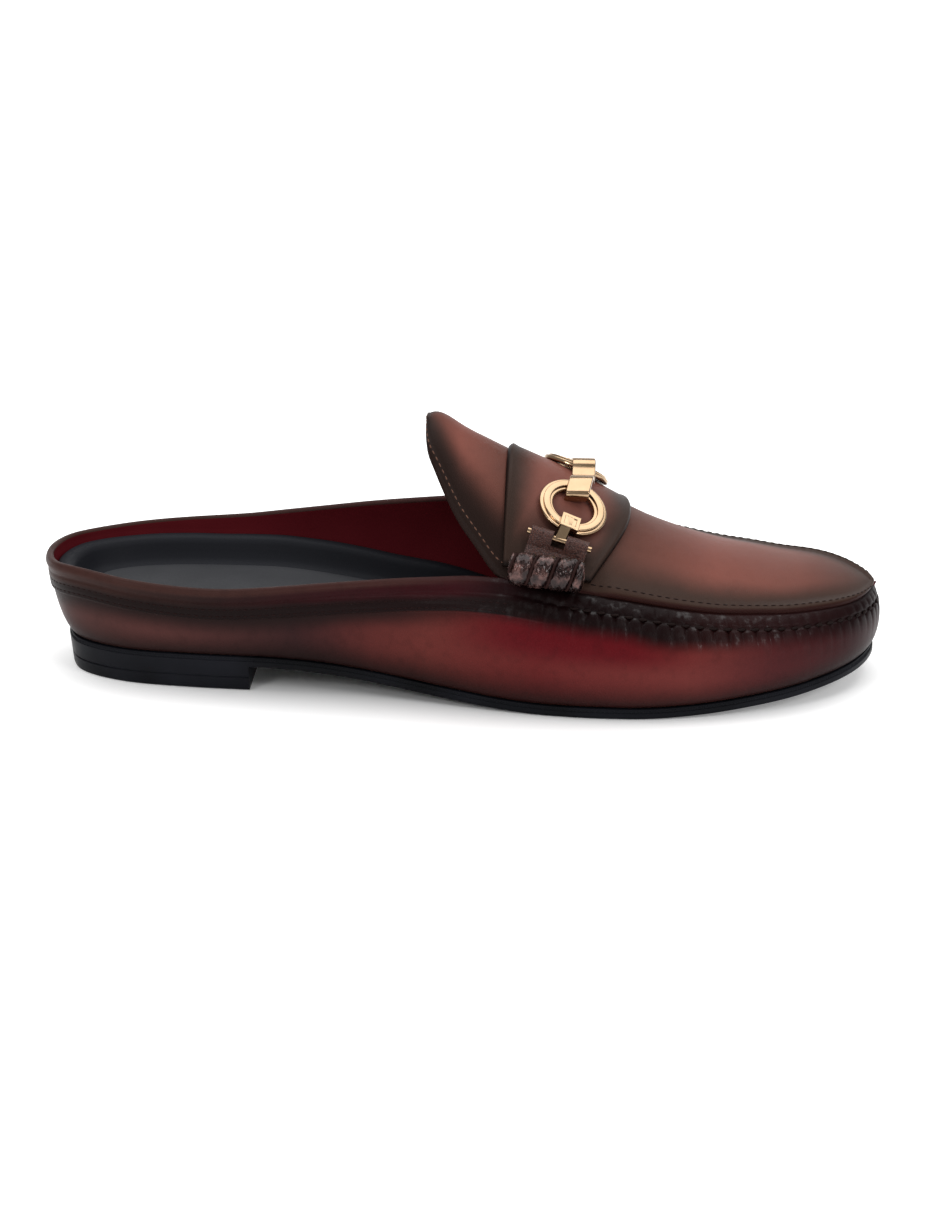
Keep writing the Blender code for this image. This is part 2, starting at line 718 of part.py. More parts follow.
class Frame:
    """A place on the strap: right is along the shoe, up is up the slope, out is away from the leather."""

    def __init__(self, origin, up, out):
        self.origin = np.asarray(origin, float)
        self.up = unit(up)
        out = np.asarray(out, float)
        self.out = unit(out - self.up * np.dot(out, self.up))
        self.right = np.cross(self.up, self.out)

    def at(self, right, up, out):
        right, up, out = np.broadcast_arrays(right, up, out)
        return (
            self.origin
            + right[..., None] * self.right
            + up[..., None] * self.up
            + out[..., None] * self.out
        )

    def place(self, point):
        """A point's up and out in this frame."""
        offset = point - self.origin
        return np.array([np.dot(offset, self.up), np.dot(offset, self.out)])


def prism(frame, outline, half_width):
    """An outline in the frame's up and out directions, as a bar along its right direction."""
    body = Mesh()
    up, out = np.array(outline, float).T
    sides = [body.add(frame.at(side * half_width, up, out)) for side in (-1, 1)]
    body.strip(sides[0], sides[1], closed=True)
    body.faces += [tuple(sides[0][::-1]), tuple(sides[1])]
    return body


def bar(frame, radius, half_length, up, out, steps=12):
    """A round bar along the frame's right direction."""
    turn = np.arange(steps) * TAU / steps
    outline = np.stack([up + radius * np.cos(turn), out + radius * np.sin(turn)], 1)
    return prism(frame, outline, half_length)


def cut(target, tool, kind):
    """Live boolean with a hidden helper."""
    tool.hide_render = True
    tool.display_type = "WIRE"
    change = target.modifiers.new(kind.lower(), "BOOLEAN")
    change.operation = kind
    change.object = tool
    change.solver = "EXACT"


def strap_points():
    """Points all over the strap's upper face."""
    across = np.linspace(-1, 1, 161) * strap_shares(ROLL_MIDDLE)
    share = np.linspace(0, 1, 41)[:, None]
    x = STRAP_BACK + (strap_front(across) - STRAP_BACK) * share
    return strap_top(x, np.broadcast_to(across, x.shape)).reshape(-1, 3)


STRAP_FACE = strap_points()


def resting(frame, covers):
    """The same frame, lifted until nothing under its piece reaches above its base."""
    offset = STRAP_FACE - frame.origin
    right, up, out = offset @ frame.right, offset @ frame.up, offset @ frame.out
    lift = out[covers(right, up)].max()
    return Frame(frame.origin + frame.out * lift, frame.up, frame.out)


def ring_frame(side):
    """Place of an ornament ring on the strap, beyond its loop and looking up at the crown."""
    x, across = loop_path(side, LOOP_LENGTH + RING_APART + RING_RADIUS)
    step = 0.02
    up = apron(x, across - side * step) - apron(x, across)
    along = unit(apron(x + 1e-3, across) - apron(x, across))
    up = up - along * np.dot(up, along)
    frame = Frame(strap_top(x, across), up, apron_normal(x, across))

    def covers(right, up):
        radius = np.hypot(right, up)
        return (radius > RING_HOLE) & (radius < RING_RADIUS)

    return resting(frame, covers)


def seam_valley(x, side):
    """Direction straight out of the seam, between the apron and the wall below it."""
    step = 0.01
    across = side * (1 - step)
    over = apron_normal(x, across)
    nearest = np.argmin(np.abs(rim_line.x - x) + 10 * (rim_line.outer == (side > 0)))
    below = rim_line.wall(0.96)[nearest] - rim_points[nearest]
    along = unit(np.roll(rim_points, -3, axis=0)[nearest] - rim_points[nearest])
    wall = unit(np.cross(along, below))
    wall = wall * np.sign(np.dot(wall, over))
    return unit(over + wall)


def roll_axis(side):
    """Ends of a roll's axis: it rests on the apron, the wall and the strap's end."""
    near = np.abs(rim_line.x - ROLL_MIDDLE) < ROLL_LENGTH
    walls = [rim_line.wall(height)[near] for height in np.linspace(0.6, 1.0, 21)]
    across = side * np.linspace(0.6, 1, 41)
    x = np.linspace(ROLL_MIDDLE - ROLL_LENGTH, ROLL_MIDDLE + ROLL_LENGTH, 41)[:, None]
    under = apron(x, np.broadcast_to(across, (41, 41))).reshape(-1, 3)
    around = np.vstack([*walls, under, STRAP_FACE])
    spots = []
    for x in (ROLL_MIDDLE - ROLL_LENGTH / 2, ROLL_MIDDLE + ROLL_LENGTH / 2):
        slope = apron(x, side * 0.97) - apron(x, side * 1.0)
        spots.append((apron(x, side * 1.0) + unit(slope) * ROLL_ABOVE, seam_valley(x, side)))
    distance = ROLL_RADIUS
    while True:
        start, finish = (spot + out * distance for spot, out in spots)
        axis = finish - start
        along = np.clip((around - start) @ axis / np.dot(axis, axis), 0, 1)
        apart = np.linalg.norm(around - start - along[:, None] * axis, axis=1).min()
        if apart >= ROLL_RADIUS + GAP:
            return start, finish
        distance += GAP / 3


def loop_path(side, distance):
    """Station and across share at a distance up the strap from where its loop starts, beside the roll."""
    start, finish = roll_axis(side)
    share = np.linspace(0, 1, 400)
    x = np.interp(share, (0, 0.5, 1), (LOOP_STATION, RING_STATION, RING_STATION))
    across = side * strap_shares(LOOP_STATION) * (1 - share)
    axis = finish - start
    face = strap_top(x, across, LOOP_THICK)
    along = (face - start) @ axis / np.dot(axis, axis)
    apart = np.linalg.norm(face - start - along[:, None] * axis, axis=1)
    beyond = share > share[int(np.argmin(apart))]
    first = int(np.argmax(beyond & (apart > ROLL_RADIUS + 3 * GAP)))
    path = strap_top(x, across)
    gone = np.linalg.norm(path - path[first], axis=1)
    last = int(np.argmax((share >= share[first]) & (gone >= distance)))
    return x[last], across[last]


def loop_frame(side):
    """Place of a loop: it starts at the roll and looks up at the ring's middle."""
    start, middle, end = (loop_path(side, LOOP_LENGTH * share) for share in (0, 0.5, 1))
    low, high = strap_top(*start), strap_top(*end)
    frame = Frame(low, high - low, apron_normal(*middle))

    def covers(right, up):
        return (np.abs(right) < LOOP_WIDTH / 2) & (up > 0) & (up < LOOP_LENGTH)

    return resting(frame, covers)


def build_roll(side, name, look):
    """Rolled and bound end of the strap, lying on the seam."""
    start, finish = roll_axis(side)
    axis = unit(finish - start)
    out = seam_valley(ROLL_MIDDLE, side)
    frame = Frame((start + finish) / 2, np.cross(out, axis), out)
    lobes = np.linspace(-ROLL_BOUND, ROLL_BOUND, WRAP_STEPS * ROLL_WRAPS + 1)
    spots = np.r_[-1, -0.985, -0.93, lobes, 0.93, 0.985, 1]
    body = Mesh()
    rows = []
    turn = np.arange(ROLL_SIDES) * TAU / ROLL_SIDES
    for spot in spots:
        ease = max(0.0, 1 - abs(spot) ** 14) ** 0.5
        turns = ROLL_WRAPS * (spot + ROLL_BOUND) / (2 * ROLL_BOUND)
        waist = ROLL_WAIST * (0.5 + 0.5 * math.cos(TAU * turns)) * (abs(spot) < 0.9)
        radius = ROLL_RADIUS * (0.25 + 0.75 * ease) * (1 - waist)
        ring = frame.at(0, radius * np.cos(turn), radius * np.sin(turn))
        rows.append(body.add(ring + axis * spot * ROLL_LENGTH / 2))
    for one, two in zip(rows, rows[1:]):
        body.strip(one, two, closed=True)
    body.faces += [tuple(rows[0][::-1]), tuple(rows[-1])]
    return solid(name, body, look)


def build_loop(side, name, look):
    """Leather tab folded round the rod, slotted for the stem."""
    frame = loop_frame(side)
    middle = LOOP_LENGTH - FOLD_RADIUS
    turn = np.linspace(-TAU / 4, TAU / 4 + 0.5, 9)
    fold = np.stack([middle + FOLD_RADIUS * np.cos(turn), FOLD_RADIUS + FOLD_RADIUS * np.sin(turn)], 1)
    outline = [(0, 0), *fold, (middle * LOOP_TAIL, LOOP_THICK), (0, LOOP_THICK)]
    made = solid(name, prism(frame, outline, LOOP_WIDTH / 2), look)
    hole = solid(name + "_bore", bar(frame, ROD_RADIUS + GAP, LOOP_WIDTH, middle, FOLD_RADIUS), look)
    low, far = middle - FOLD_RADIUS - SLOT_DEPTH, 3 * LOOP_LENGTH
    box = [(low, -LOOP_LENGTH), (far, -LOOP_LENGTH), (far, far), (low, far)]
    slot = solid(name + "_slot", prism(frame, box, LOOP_SLOT / 2), look)
    cut(made, hole, "DIFFERENCE")
    cut(made, slot, "DIFFERENCE")
    return made


def build_ring(side, name, look):
    """Closed round ring with a stepped face."""
    frame = ring_frame(side)
    across, height = np.array(RING_PROFILE).T
    radius = RING_HOLE + (RING_RADIUS - RING_HOLE) * across
    out = RING_THICK * height
    body = Mesh()
    rows = []
    for turn in np.arange(RING_SIDES) * TAU / RING_SIDES:
        rows.append(body.add(frame.at(radius * math.sin(turn), radius * math.cos(turn), out)))
    for i, row in enumerate(rows):
        body.strip(row, rows[(i + 1) % len(rows)], closed=True)
    return solid(name, body, look)


def build_stem(side, name, look):
    """Stem from the ring down to a rod in the loop, in one piece."""
    loop = loop_frame(side)
    ring = ring_frame(side)
    middle = LOOP_LENGTH - FOLD_RADIUS
    rod = solid(name, bar(loop, ROD_RADIUS, LOOP_WIDTH / 2 + ROD_END, middle, FOLD_RADIUS), look)
    centre = loop.at(0, middle, FOLD_RADIUS)
    frame = Frame(centre, ring.origin - centre, ring.out)
    lap = RING_THICK + 2 * GAP
    outer = frame.place(ring.at(0, -RING_RADIUS - GAP, lap))
    inner = frame.place(ring.at(0, -RING_HOLE + 2 * GAP, lap))
    rise = np.array([0, STEM_THICK])
    back = np.array([-STEM_THICK / 2, 0])
    outline = [back - rise / 2, outer, inner, inner + rise, outer + rise, back + rise / 2]
    plate = solid(name + "_plate", prism(frame, outline, STEM_WIDTH / 2), look)
    cut(rod, plate, "UNION")
    return rod


def build_link(look):
    """Wide flat band that joins the rings over the crown, its ends turned down into them."""
    left, right = ring_frame(-1), ring_frame(1)
    crown = strap_top(RING_STATION, 0.0, 2 * GAP)
    frame = Frame(crown, right.origin - left.origin, apron_normal(RING_STATION, 0.0))
    hole = math.sqrt(RING_HOLE**2 - (LINK_WIDTH / 2 + 2 * GAP) ** 2) - 8 * GAP
    lap = RING_THICK + 2 * GAP
    spots = [(hole, 3 * GAP), (hole, lap + GAP), (RING_RADIUS + GAP, lap + GAP)]
    ends = [[frame.place(ring.at(0, up, out)) for up, out in spots] for ring in (left, right)]
    low, high = ends[0][-1], ends[1][-1]
    steps = np.linspace(-1, 1, 9)[1:-1]
    chord = [(low + high) / 2 + (high - low) / 2 * t for t in steps]
    drop = np.array([0, -(low + high)[1] / 2])
    arch = [spot + drop * (1 - abs(t) ** 2.6) for spot, t in zip(chord, steps)]
    path = np.array([*ends[0], *arch, *ends[1][::-1]])
    along = unit(np.gradient(path, axis=0))
    beside = np.stack([-along[:, 1], along[:, 0]], 1)
    outline = np.vstack([path, (path + beside * LINK_THICK)[::-1]])
    return solid("link", prism(frame, outline, LINK_WIDTH / 2), look)


def stand_at_origin(pieces):
    """Moves every piece so that the origin is under the middle of the shoe's box."""
    bpy.context.view_layer.update()
    corners = np.vstack([np.array([v.co for v in piece.data.vertices]) for piece in pieces])
    low, high = corners.min(axis=0), corners.max(axis=0)
    move = np.array([-(low[0] + high[0]) / 2, -(low[1] + high[1]) / 2, -low[2]])
    for piece in bpy.data.objects:
        if piece.type == "MESH":
            moved = np.array([v.co for v in piece.data.vertices]) + move
            piece.data.vertices.foreach_set("co", moved.ravel())
            piece.data.update()


def main():
    for old in list(bpy.data.objects):
        bpy.data.objects.remove(old, do_unlink=True)
    burgundy = material("burgundy_leather", (0.115, 0.018, 0.020), 0.38)
    brown = material("brushed_brown_leather", (0.120, 0.045, 0.038), 0.45)
    bronze = material("bronze_leather", (0.085, 0.038, 0.030), 0.30, 0.35)
    gold = material("light_gold", (0.85, 0.66, 0.40), 0.18, 1.0)
    black = material("black_rubber", (0.012, 0.013, 0.016), 0.50)
    bed = material("black_footbed", (0.018, 0.019, 0.022), 0.65)
    pieces = [
        build_outsole(black),
        build_insole(bed),
        build_upper(burgundy),
        build_strap(brown),
        build_link(gold),
    ]
    for side, name in ((-1, "lateral"), (1, "medial")):
        pieces.append(build_roll(side, "roll_" + name, bronze))
        pieces.append(build_loop(side, "loop_" + name, bronze))
        pieces.append(build_ring(side, "ring_" + name, gold))
        pieces.append(build_stem(side, "stem_" + name, gold))
    stand_at_origin(pieces)


main()
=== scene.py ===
# %% [markdown]
# A backless moccasin-toe loafer stands on a pale floor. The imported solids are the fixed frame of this
# scene: every piece below is made in the same metres, +X to the toe, +Y to the inner side, +Z up.
# The leather needs more points than a solid carries, for its gathers and its rolled edges, so the last's
# curves are drawn again here, finer, and the new pieces stand in for the solids.

# %% Load the frame
import math

import bmesh
import bpy
import numpy as np
from mathutils import Matrix


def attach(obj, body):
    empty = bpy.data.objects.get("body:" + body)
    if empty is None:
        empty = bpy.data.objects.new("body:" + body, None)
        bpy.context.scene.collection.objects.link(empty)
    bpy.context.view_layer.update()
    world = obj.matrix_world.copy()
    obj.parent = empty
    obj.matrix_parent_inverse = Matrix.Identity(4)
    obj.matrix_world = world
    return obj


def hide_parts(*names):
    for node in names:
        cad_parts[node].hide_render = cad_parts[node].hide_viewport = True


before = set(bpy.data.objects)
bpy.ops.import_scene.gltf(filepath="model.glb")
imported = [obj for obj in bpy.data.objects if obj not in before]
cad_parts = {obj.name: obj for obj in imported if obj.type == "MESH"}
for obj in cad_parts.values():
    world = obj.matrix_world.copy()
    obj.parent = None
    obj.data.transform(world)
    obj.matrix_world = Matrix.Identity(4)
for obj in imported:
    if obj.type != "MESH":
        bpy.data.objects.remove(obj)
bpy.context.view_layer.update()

scene = bpy.context.scene
TAU = 2 * math.pi

# %% [markdown]
# The camera comes first. It looks at the outer side, a little from above, from 1.2 m, with the lens that gives the
# shoe its size in the frame.

# %% Camera
AZIMUTH, ELEVATION = math.radians(3.2), math.radians(19.0)
TARGET = np.array([0.00298, 0.00411, 0.02145])
DISTANCE, PIXELS_PER_MM, LONG_SIDE = 1.2, 2.788, 1215
back = np.array([
    math.sin(AZIMUTH) * math.cos(ELEVATION),
    -math.cos(AZIMUTH) * math.cos(ELEVATION),
    math.sin(ELEVATION),
])
camera_data = bpy.data.cameras.new("camera")
camera_data.sensor_width = 36
camera_data.lens = PIXELS_PER_MM * DISTANCE * 1000 / LONG_SIDE * 36
camera = bpy.data.objects.new("camera", camera_data)
side_axis = np.cross([0, 0, 1], back)
side_axis /= np.linalg.norm(side_axis)
up_axis = np.cross(back, side_axis)
place = Matrix([[*row, 0] for row in np.stack([side_axis, up_axis, back], 1)] + [[0, 0, 0, 1]])
place.translation = TARGET + back * DISTANCE
camera.matrix_world = place
scene.collection.objects.link(camera)
scene.camera = camera
scene.view_settings.view_transform = "Standard"  # white stays white, and dark leather stays dark
print("lens:", round(camera_data.lens, 2), "mm")

# %% [markdown]
# A shoe is drawn on its last. The plan outline, the heights of the rim and seam, and the form of the
# walls are short tables of shares, and smooth curves run through them. The same sizes drive the solids.

# %% Sizes and tables of the last
LENGTH, BALL_WIDTH, HEEL_WIDTH = 0.298, 0.1063, 0.0725
WALL_RISE, ARCH_RISE = 0.0294, 0.0319
HEEL_PITCH, TOE_SPRING, SOLE_EDGE = 0.0089, 0.0080, 0.0036
HEEL_LENGTH, FLAT_BACK, FLAT_FRONT = 0.0753, 0.182, 0.210
THROAT, TONGUE_LENGTH = 0.1655, 0.0308
SEAM_INSET, SOLE_INSET, SEAT = 0.0123, 0.0040, 0.0012
LEATHER, GAP = 0.0018, 0.0003
BAND_HEIGHT, BAND_STEP, SEAM_BAND = 0.0105, 0.0007, 0.0040
CURL_ANGLE = 80  # degrees that the wall turns under, below its widest line
LIP_HEIGHT, LIP_BREADTH, LIP_ROUND, GROOVE = 0.0012, 0.0045, 0.0010, 0.0004
STRAP_THICK, STRAP_BACK, STRAP_FRONT, STRAP_SWEEP, STRAP_END = 0.0019, 0.1650, 0.2082, 0.0150, 0.0042
LIP_START, LIP_GROWTH = STRAP_FRONT - STRAP_SWEEP + 0.0036, 0.0060
MOVE = np.array([-0.14864838, 0.00711225, 0.0])  # from the last's own zero to the frame's

# Plan outline, toe first and round by the outer side: along, heel width share, ball width share
PLAN = [
    (1.000, 0.000, 0.019), (0.987, 0.000, -0.155), (0.963, 0.000, -0.268), (0.933, 0.000, -0.353),
    (0.896, 0.000, -0.428), (0.856, 0.000, -0.480), (0.812, 0.000, -0.523), (0.772, 0.000, -0.549),
    (0.732, 0.000, -0.564), (0.695, 0.000, -0.567), (0.654, 0.000, -0.562), (0.604, 0.000, -0.543),
    (0.554, 0.000, -0.513), (0.503, 0.000, -0.475), (0.453, -0.050, -0.403), (0.403, -0.140, -0.309),
    (0.352, -0.270, -0.197), (0.302, -0.400, -0.099), (0.252, -0.538, 0.000), (0.201, -0.528, 0.000),
    (0.151, -0.510, 0.000), (0.107, -0.483, 0.000), (0.067, -0.425, 0.000), (0.040, -0.359, 0.000),
    (0.020, -0.276, 0.000), (0.007, -0.166, 0.000), (0.000, 0.000, 0.000), (0.007, 0.166, 0.000),
    (0.020, 0.272, 0.000), (0.040, 0.352, 0.000), (0.067, 0.418, 0.000), (0.101, 0.465, 0.000),
    (0.141, 0.491, 0.000), (0.185, 0.500, 0.000), (0.235, 0.496, 0.000), (0.285, 0.380, 0.073),
    (0.336, 0.255, 0.149), (0.386, 0.130, 0.231), (0.436, 0.050, 0.290), (0.487, 0.000, 0.339),
    (0.537, 0.000, 0.362), (0.587, 0.000, 0.390), (0.638, 0.000, 0.414), (0.688, 0.000, 0.429),
    (0.732, 0.000, 0.433), (0.782, 0.000, 0.430), (0.832, 0.000, 0.414), (0.883, 0.000, 0.381),
    (0.926, 0.000, 0.325), (0.960, 0.000, 0.254), (0.984, 0.000, 0.172), (0.997, 0.000, 0.090),
]
# Along, outer rim, inner rim, crown over the seam, inset of the seam
SECTIONS = [
    (0.000, 0.920, 0.920, 0.000, 0.00), (0.034, 0.975, 0.905, 0.000, 0.00),
    (0.100, 0.940, 0.930, 0.000, 0.00), (0.168, 0.875, 0.975, 0.000, 0.00),
    (0.235, 0.865, 1.035, 0.000, 0.02), (0.309, 0.950, 1.165, 0.000, 0.07),
    (0.386, 1.115, 1.355, 0.000, 0.17), (0.459, 1.295, 1.530, 1.400, 0.38),
    (0.480, 1.340, 1.575, 1.385, 0.46), (0.503, 1.385, 1.612, 1.235, 0.57),
    (0.527, 1.412, 1.628, 1.115, 0.67), (0.554, 1.425, 1.622, 1.000, 0.78),
    (0.604, 1.390, 1.560, 0.835, 0.91), (0.651, 1.325, 1.476, 0.682, 0.98),
    (0.691, 1.275, 1.401, 0.531, 1.00), (0.732, 1.205, 1.300, 0.411, 1.00),
    (0.772, 1.125, 1.200, 0.322, 0.96), (0.812, 1.045, 1.100, 0.256, 0.88),
    (0.856, 0.970, 1.010, 0.200, 0.77), (0.896, 0.900, 0.930, 0.155, 0.65),
    (0.933, 0.835, 0.885, 0.112, 0.52), (0.966, 0.770, 0.810, 0.058, 0.37),
    (1.000, 0.695, 0.695, 0.000, 0.27),
]
# Along, height of the widest line, inset of the sole's edge, lean below the widest line
WALLS = [
    (0.000, 0.94, 1.62, 0.26), (0.060, 0.93, 1.35, 0.30), (0.150, 0.88, 1.05, 0.28),
    (0.252, 0.80, 0.85, 0.22), (0.380, 0.66, 0.75, 0.12), (0.520, 0.50, 0.80, 0.04),
    (0.700, 0.42, 0.95, 0.00), (0.860, 0.44, 0.90, 0.00), (1.000, 0.46, 0.50, 0.00),
]
# Turn from the throat to the tip, breadth as a share of the apron's
TONGUE = [
    (0.000, 1.000), (0.096, 0.968), (0.221, 0.872), (0.371, 0.764), (0.512, 0.645),
    (0.601, 0.567), (0.673, 0.505), (0.778, 0.420), (0.890, 0.265), (1.000, 0.060),
]


# %% Curves of the last
def curve(rows, column):
    """Smooth curve through one column of a table, against its first column."""
    x = np.array([row[0] for row in rows], float)
    y = np.array([row[column] for row in rows], float)
    step = np.diff(x)
    size = len(x)
    matrix = np.zeros((size, size))
    right = np.zeros(size)
    matrix[0, :2] = 2, 1
    right[0] = 3 * (y[1] - y[0]) / step[0]
    matrix[-1, -2:] = 1, 2
    right[-1] = 3 * (y[-1] - y[-2]) / step[-1]
    for i in range(1, size - 1):
        matrix[i, i - 1 : i + 2] = step[i], 2 * (step[i - 1] + step[i]), step[i - 1]
        before = step[i] * (y[i] - y[i - 1]) / step[i - 1]
        right[i] = 3 * (before + step[i - 1] * (y[i + 1] - y[i]) / step[i])
    slope = np.linalg.solve(matrix, right)

    def value(at):
        at = np.clip(at, x[0], x[-1])
        i = np.clip(np.searchsorted(x, at) - 1, 0, size - 2)
        h = step[i]
        t = (at - x[i]) / h
        first = (1 + 2 * t) * (1 - t) ** 2 * y[i] + t * (1 - t) ** 2 * h * slope[i]
        return first + t * t * (3 - 2 * t) * y[i + 1] + t * t * (t - 1) * h * slope[i + 1]

    return value


outer_rise, inner_rise, arch_rise, seam_inset = (curve(SECTIONS, n) for n in range(1, 5))
bulge_height, sole_inset, wall_lean = (curve(WALLS, n) for n in range(1, 4))
tongue_breadth = curve(TONGUE, 1)


def smoothstep(t):
    t = np.clip(t, 0, 1)
    return t * t * (3 - 2 * t)


def unit(v):
    v = np.asarray(v, float)
    return v / np.maximum(np.linalg.norm(v, axis=-1, keepdims=True), 1e-12)


def underside(x):
    waist = HEEL_PITCH * smoothstep((FLAT_BACK - x) / (FLAT_BACK - HEEL_LENGTH))
    return waist + TOE_SPRING * np.clip((x - FLAT_FRONT) / (LENGTH - FLAT_FRONT), 0, None) ** 1.6


def sole_top(x):
    return underside(x) + SOLE_EDGE


class Outline:
    """Points round the plan outline: toe tip first, back along the outer side, forward along the inner."""

    def __init__(self, stops):
        rows = np.array([(row[0] * LENGTH, row[1] * HEEL_WIDTH + row[2] * BALL_WIDTH) for row in PLAN])
        dense = self.closed_curve(rows, 24)
        heel, toe = int(np.argmin(dense[:, 0])), int(np.argmax(dense[:, 0]))
        around = np.roll(dense, -toe, axis=0)
        heel = (heel - toe) % len(dense)
        sides = around[: heel + 1], np.vstack([around[heel:], around[:1]])[::-1]
        self.half = sum(steps for _, steps in stops)
        outer, inner = (self.sample(side, stops) for side in sides)
        self.xy = np.vstack([outer, inner[-2:0:-1]])
        self.x, self.y = self.xy.T
        self.count = len(self.xy)
        along = np.roll(self.xy, -1, axis=0) - np.roll(self.xy, 1, axis=0)
        normal = unit(np.stack([along[:, 1], -along[:, 0]], 1))
        self.normal = normal * np.sign(normal[0, 0])
        self.outer = np.arange(self.count) <= self.half
        self.inset_share = SOLE_INSET * sole_inset(self.x / LENGTH)

    @staticmethod
    def closed_curve(points, steps):
        """Periodic spline over the chord lengths."""
        count = len(points)
        chord = np.linalg.norm(np.roll(points, -1, axis=0) - points, axis=1)
        before = np.roll(chord, 1)
        matrix = np.zeros((count, count))
        for i in range(count):
            matrix[i, i - 1] = chord[i]
            matrix[i, i] = 2 * (before[i] + chord[i])
            matrix[i, (i + 1) % count] = before[i]
        ahead = (np.roll(points, -1, axis=0) - points) / chord[:, None]
        right = 3 * (chord[:, None] * np.roll(ahead, 1, axis=0) + before[:, None] * ahead)
        slope = np.linalg.solve(matrix, right)
        t = np.linspace(0, 1, steps, endpoint=False)[:, None]
        out = []
        for i in range(count):
            n = (i + 1) % count
            start = (1 + 2 * t) * (1 - t) ** 2 * points[i] + t * (1 - t) ** 2 * chord[i] * slope[i]
            out.append(start + t * t * (3 - 2 * t) * points[n] + t * t * (t - 1) * chord[i] * slope[n])
        return np.vstack(out)

    @staticmethod
    def sample(side, stops):
        length = np.r_[0, np.cumsum(np.linalg.norm(np.diff(side, axis=0), axis=1))]
        at = [np.zeros(1)]
        for station, steps in stops:
            passed = np.interp(-station, -side[:, 0], length) if station else length[-1]
            at.append(np.linspace(at[-1][-1], passed, steps + 1)[1:])
        at = np.concatenate(at)
        return np.stack([np.interp(at, length, side[:, n]) for n in range(2)], 1)

    def rise(self):
        share = self.x / LENGTH
        return WALL_RISE * np.where(self.outer, outer_rise(share), inner_rise(share))

    def wall(self, height):
        """Points of the upper's plain outside at a share of the wall's height."""
        share = self.x / LENGTH
        bulge = bulge_height(share)
        lean = wall_lean(share)
        below = np.clip((bulge - height) / bulge, 0, 1)
        above = np.clip((height - bulge) / (1 - bulge), 0, 1)
        turn = math.radians(CURL_ANGLE)
        curl = 1 - np.sqrt(1 - (math.sin(turn) * below) ** 2)
        curl /= 1 - math.cos(turn)
        inward = (self.inset_share + SEAT) * (lean * below + (1 - lean) * curl)
        inward = inward + SEAM_INSET * seam_inset(share) * above**2.5
        z = sole_top(self.x) + GAP + (self.rise() - GAP) * height
        return np.column_stack([self.xy - self.normal * inward[:, None], z])


rim_line = Outline([(THROAT, 120), (0, 120)])
rim_points = rim_line.wall(1.0)


def rim_at(x, outer):
    """Point of the rim or seam line at a station, on the outer or inner side."""
    half = rim_line.half
    side = rim_points[: half + 1] if outer else np.vstack([rim_points[half:], rim_points[:1]])[::-1]
    order = np.argsort(side[:, 0])
    y, z = (np.interp(x, side[order, 0], side[order, n]) for n in (1, 2))
    return np.stack([np.broadcast_to(x, np.shape(y)), y, z], -1)


def arched(left, right, across):
    """Point of the apron: across runs from -1 at the outer seam to 1 at the inner seam."""
    base = left * (1 - across) / 2 + right * (1 + across) / 2
    return base + ARCH_RISE * arch_rise(base[..., 0:1] / LENGTH) * (1 - across**2) * np.array([0, 0, 1.0])


def apron(x, across):
    x, across = np.broadcast_arrays(np.asarray(x, float), np.asarray(across, float))
    return arched(rim_at(x, True), rim_at(x, False), across[..., None])


def apron_normal(x, across):
    d = 1e-4
    along = apron(np.asarray(x) + d, across) - apron(np.asarray(x) - d, across)
    over = apron(x, np.asarray(across) + d) - apron(x, np.asarray(across) - d)
    return unit(np.cross(along, over))


def above_apron(x, across, height):
    return apron(x, across) + apron_normal(x, across) * np.asarray(height)[..., None]


seam_length = np.linalg.norm(np.diff(rim_points, axis=0), axis=1).sum()
print("length round the rim and seam:", round(seam_length * 1000), "mm")

# %% [markdown]
# Finishes are sums: a base colour, darker where a brush has burnished it, with painted light and shade on some
# pieces, plus grain. A small wrapper lets them be written as Python expressions, and each operator adds its own node.

# %% Shader expressions
class Link:
    """A socket of a material's tree, with arithmetic."""

    def __init__(self, book, socket):
        self.book, self.socket = book, socket

    def math(self, operation, *others, swap=False):
        values = [self, *others]
        return self.book.node("Math", {"operation": operation}, *(values[::-1] if swap else values))

    def __add__(self, other): return self.math("ADD", other)
    def __radd__(self, other): return self.math("ADD", other)
    def __sub__(self, other): return self.math("SUBTRACT", other)
    def __rsub__(self, other): return self.math("SUBTRACT", other, swap=True)
    def __mul__(self, other): return self.math("MULTIPLY", other)
    def __rmul__(self, other): return self.math("MULTIPLY", other)
    def __truediv__(self, other): return self.math("DIVIDE", other)
    def __pow__(self, other): return self.math("POWER", other)


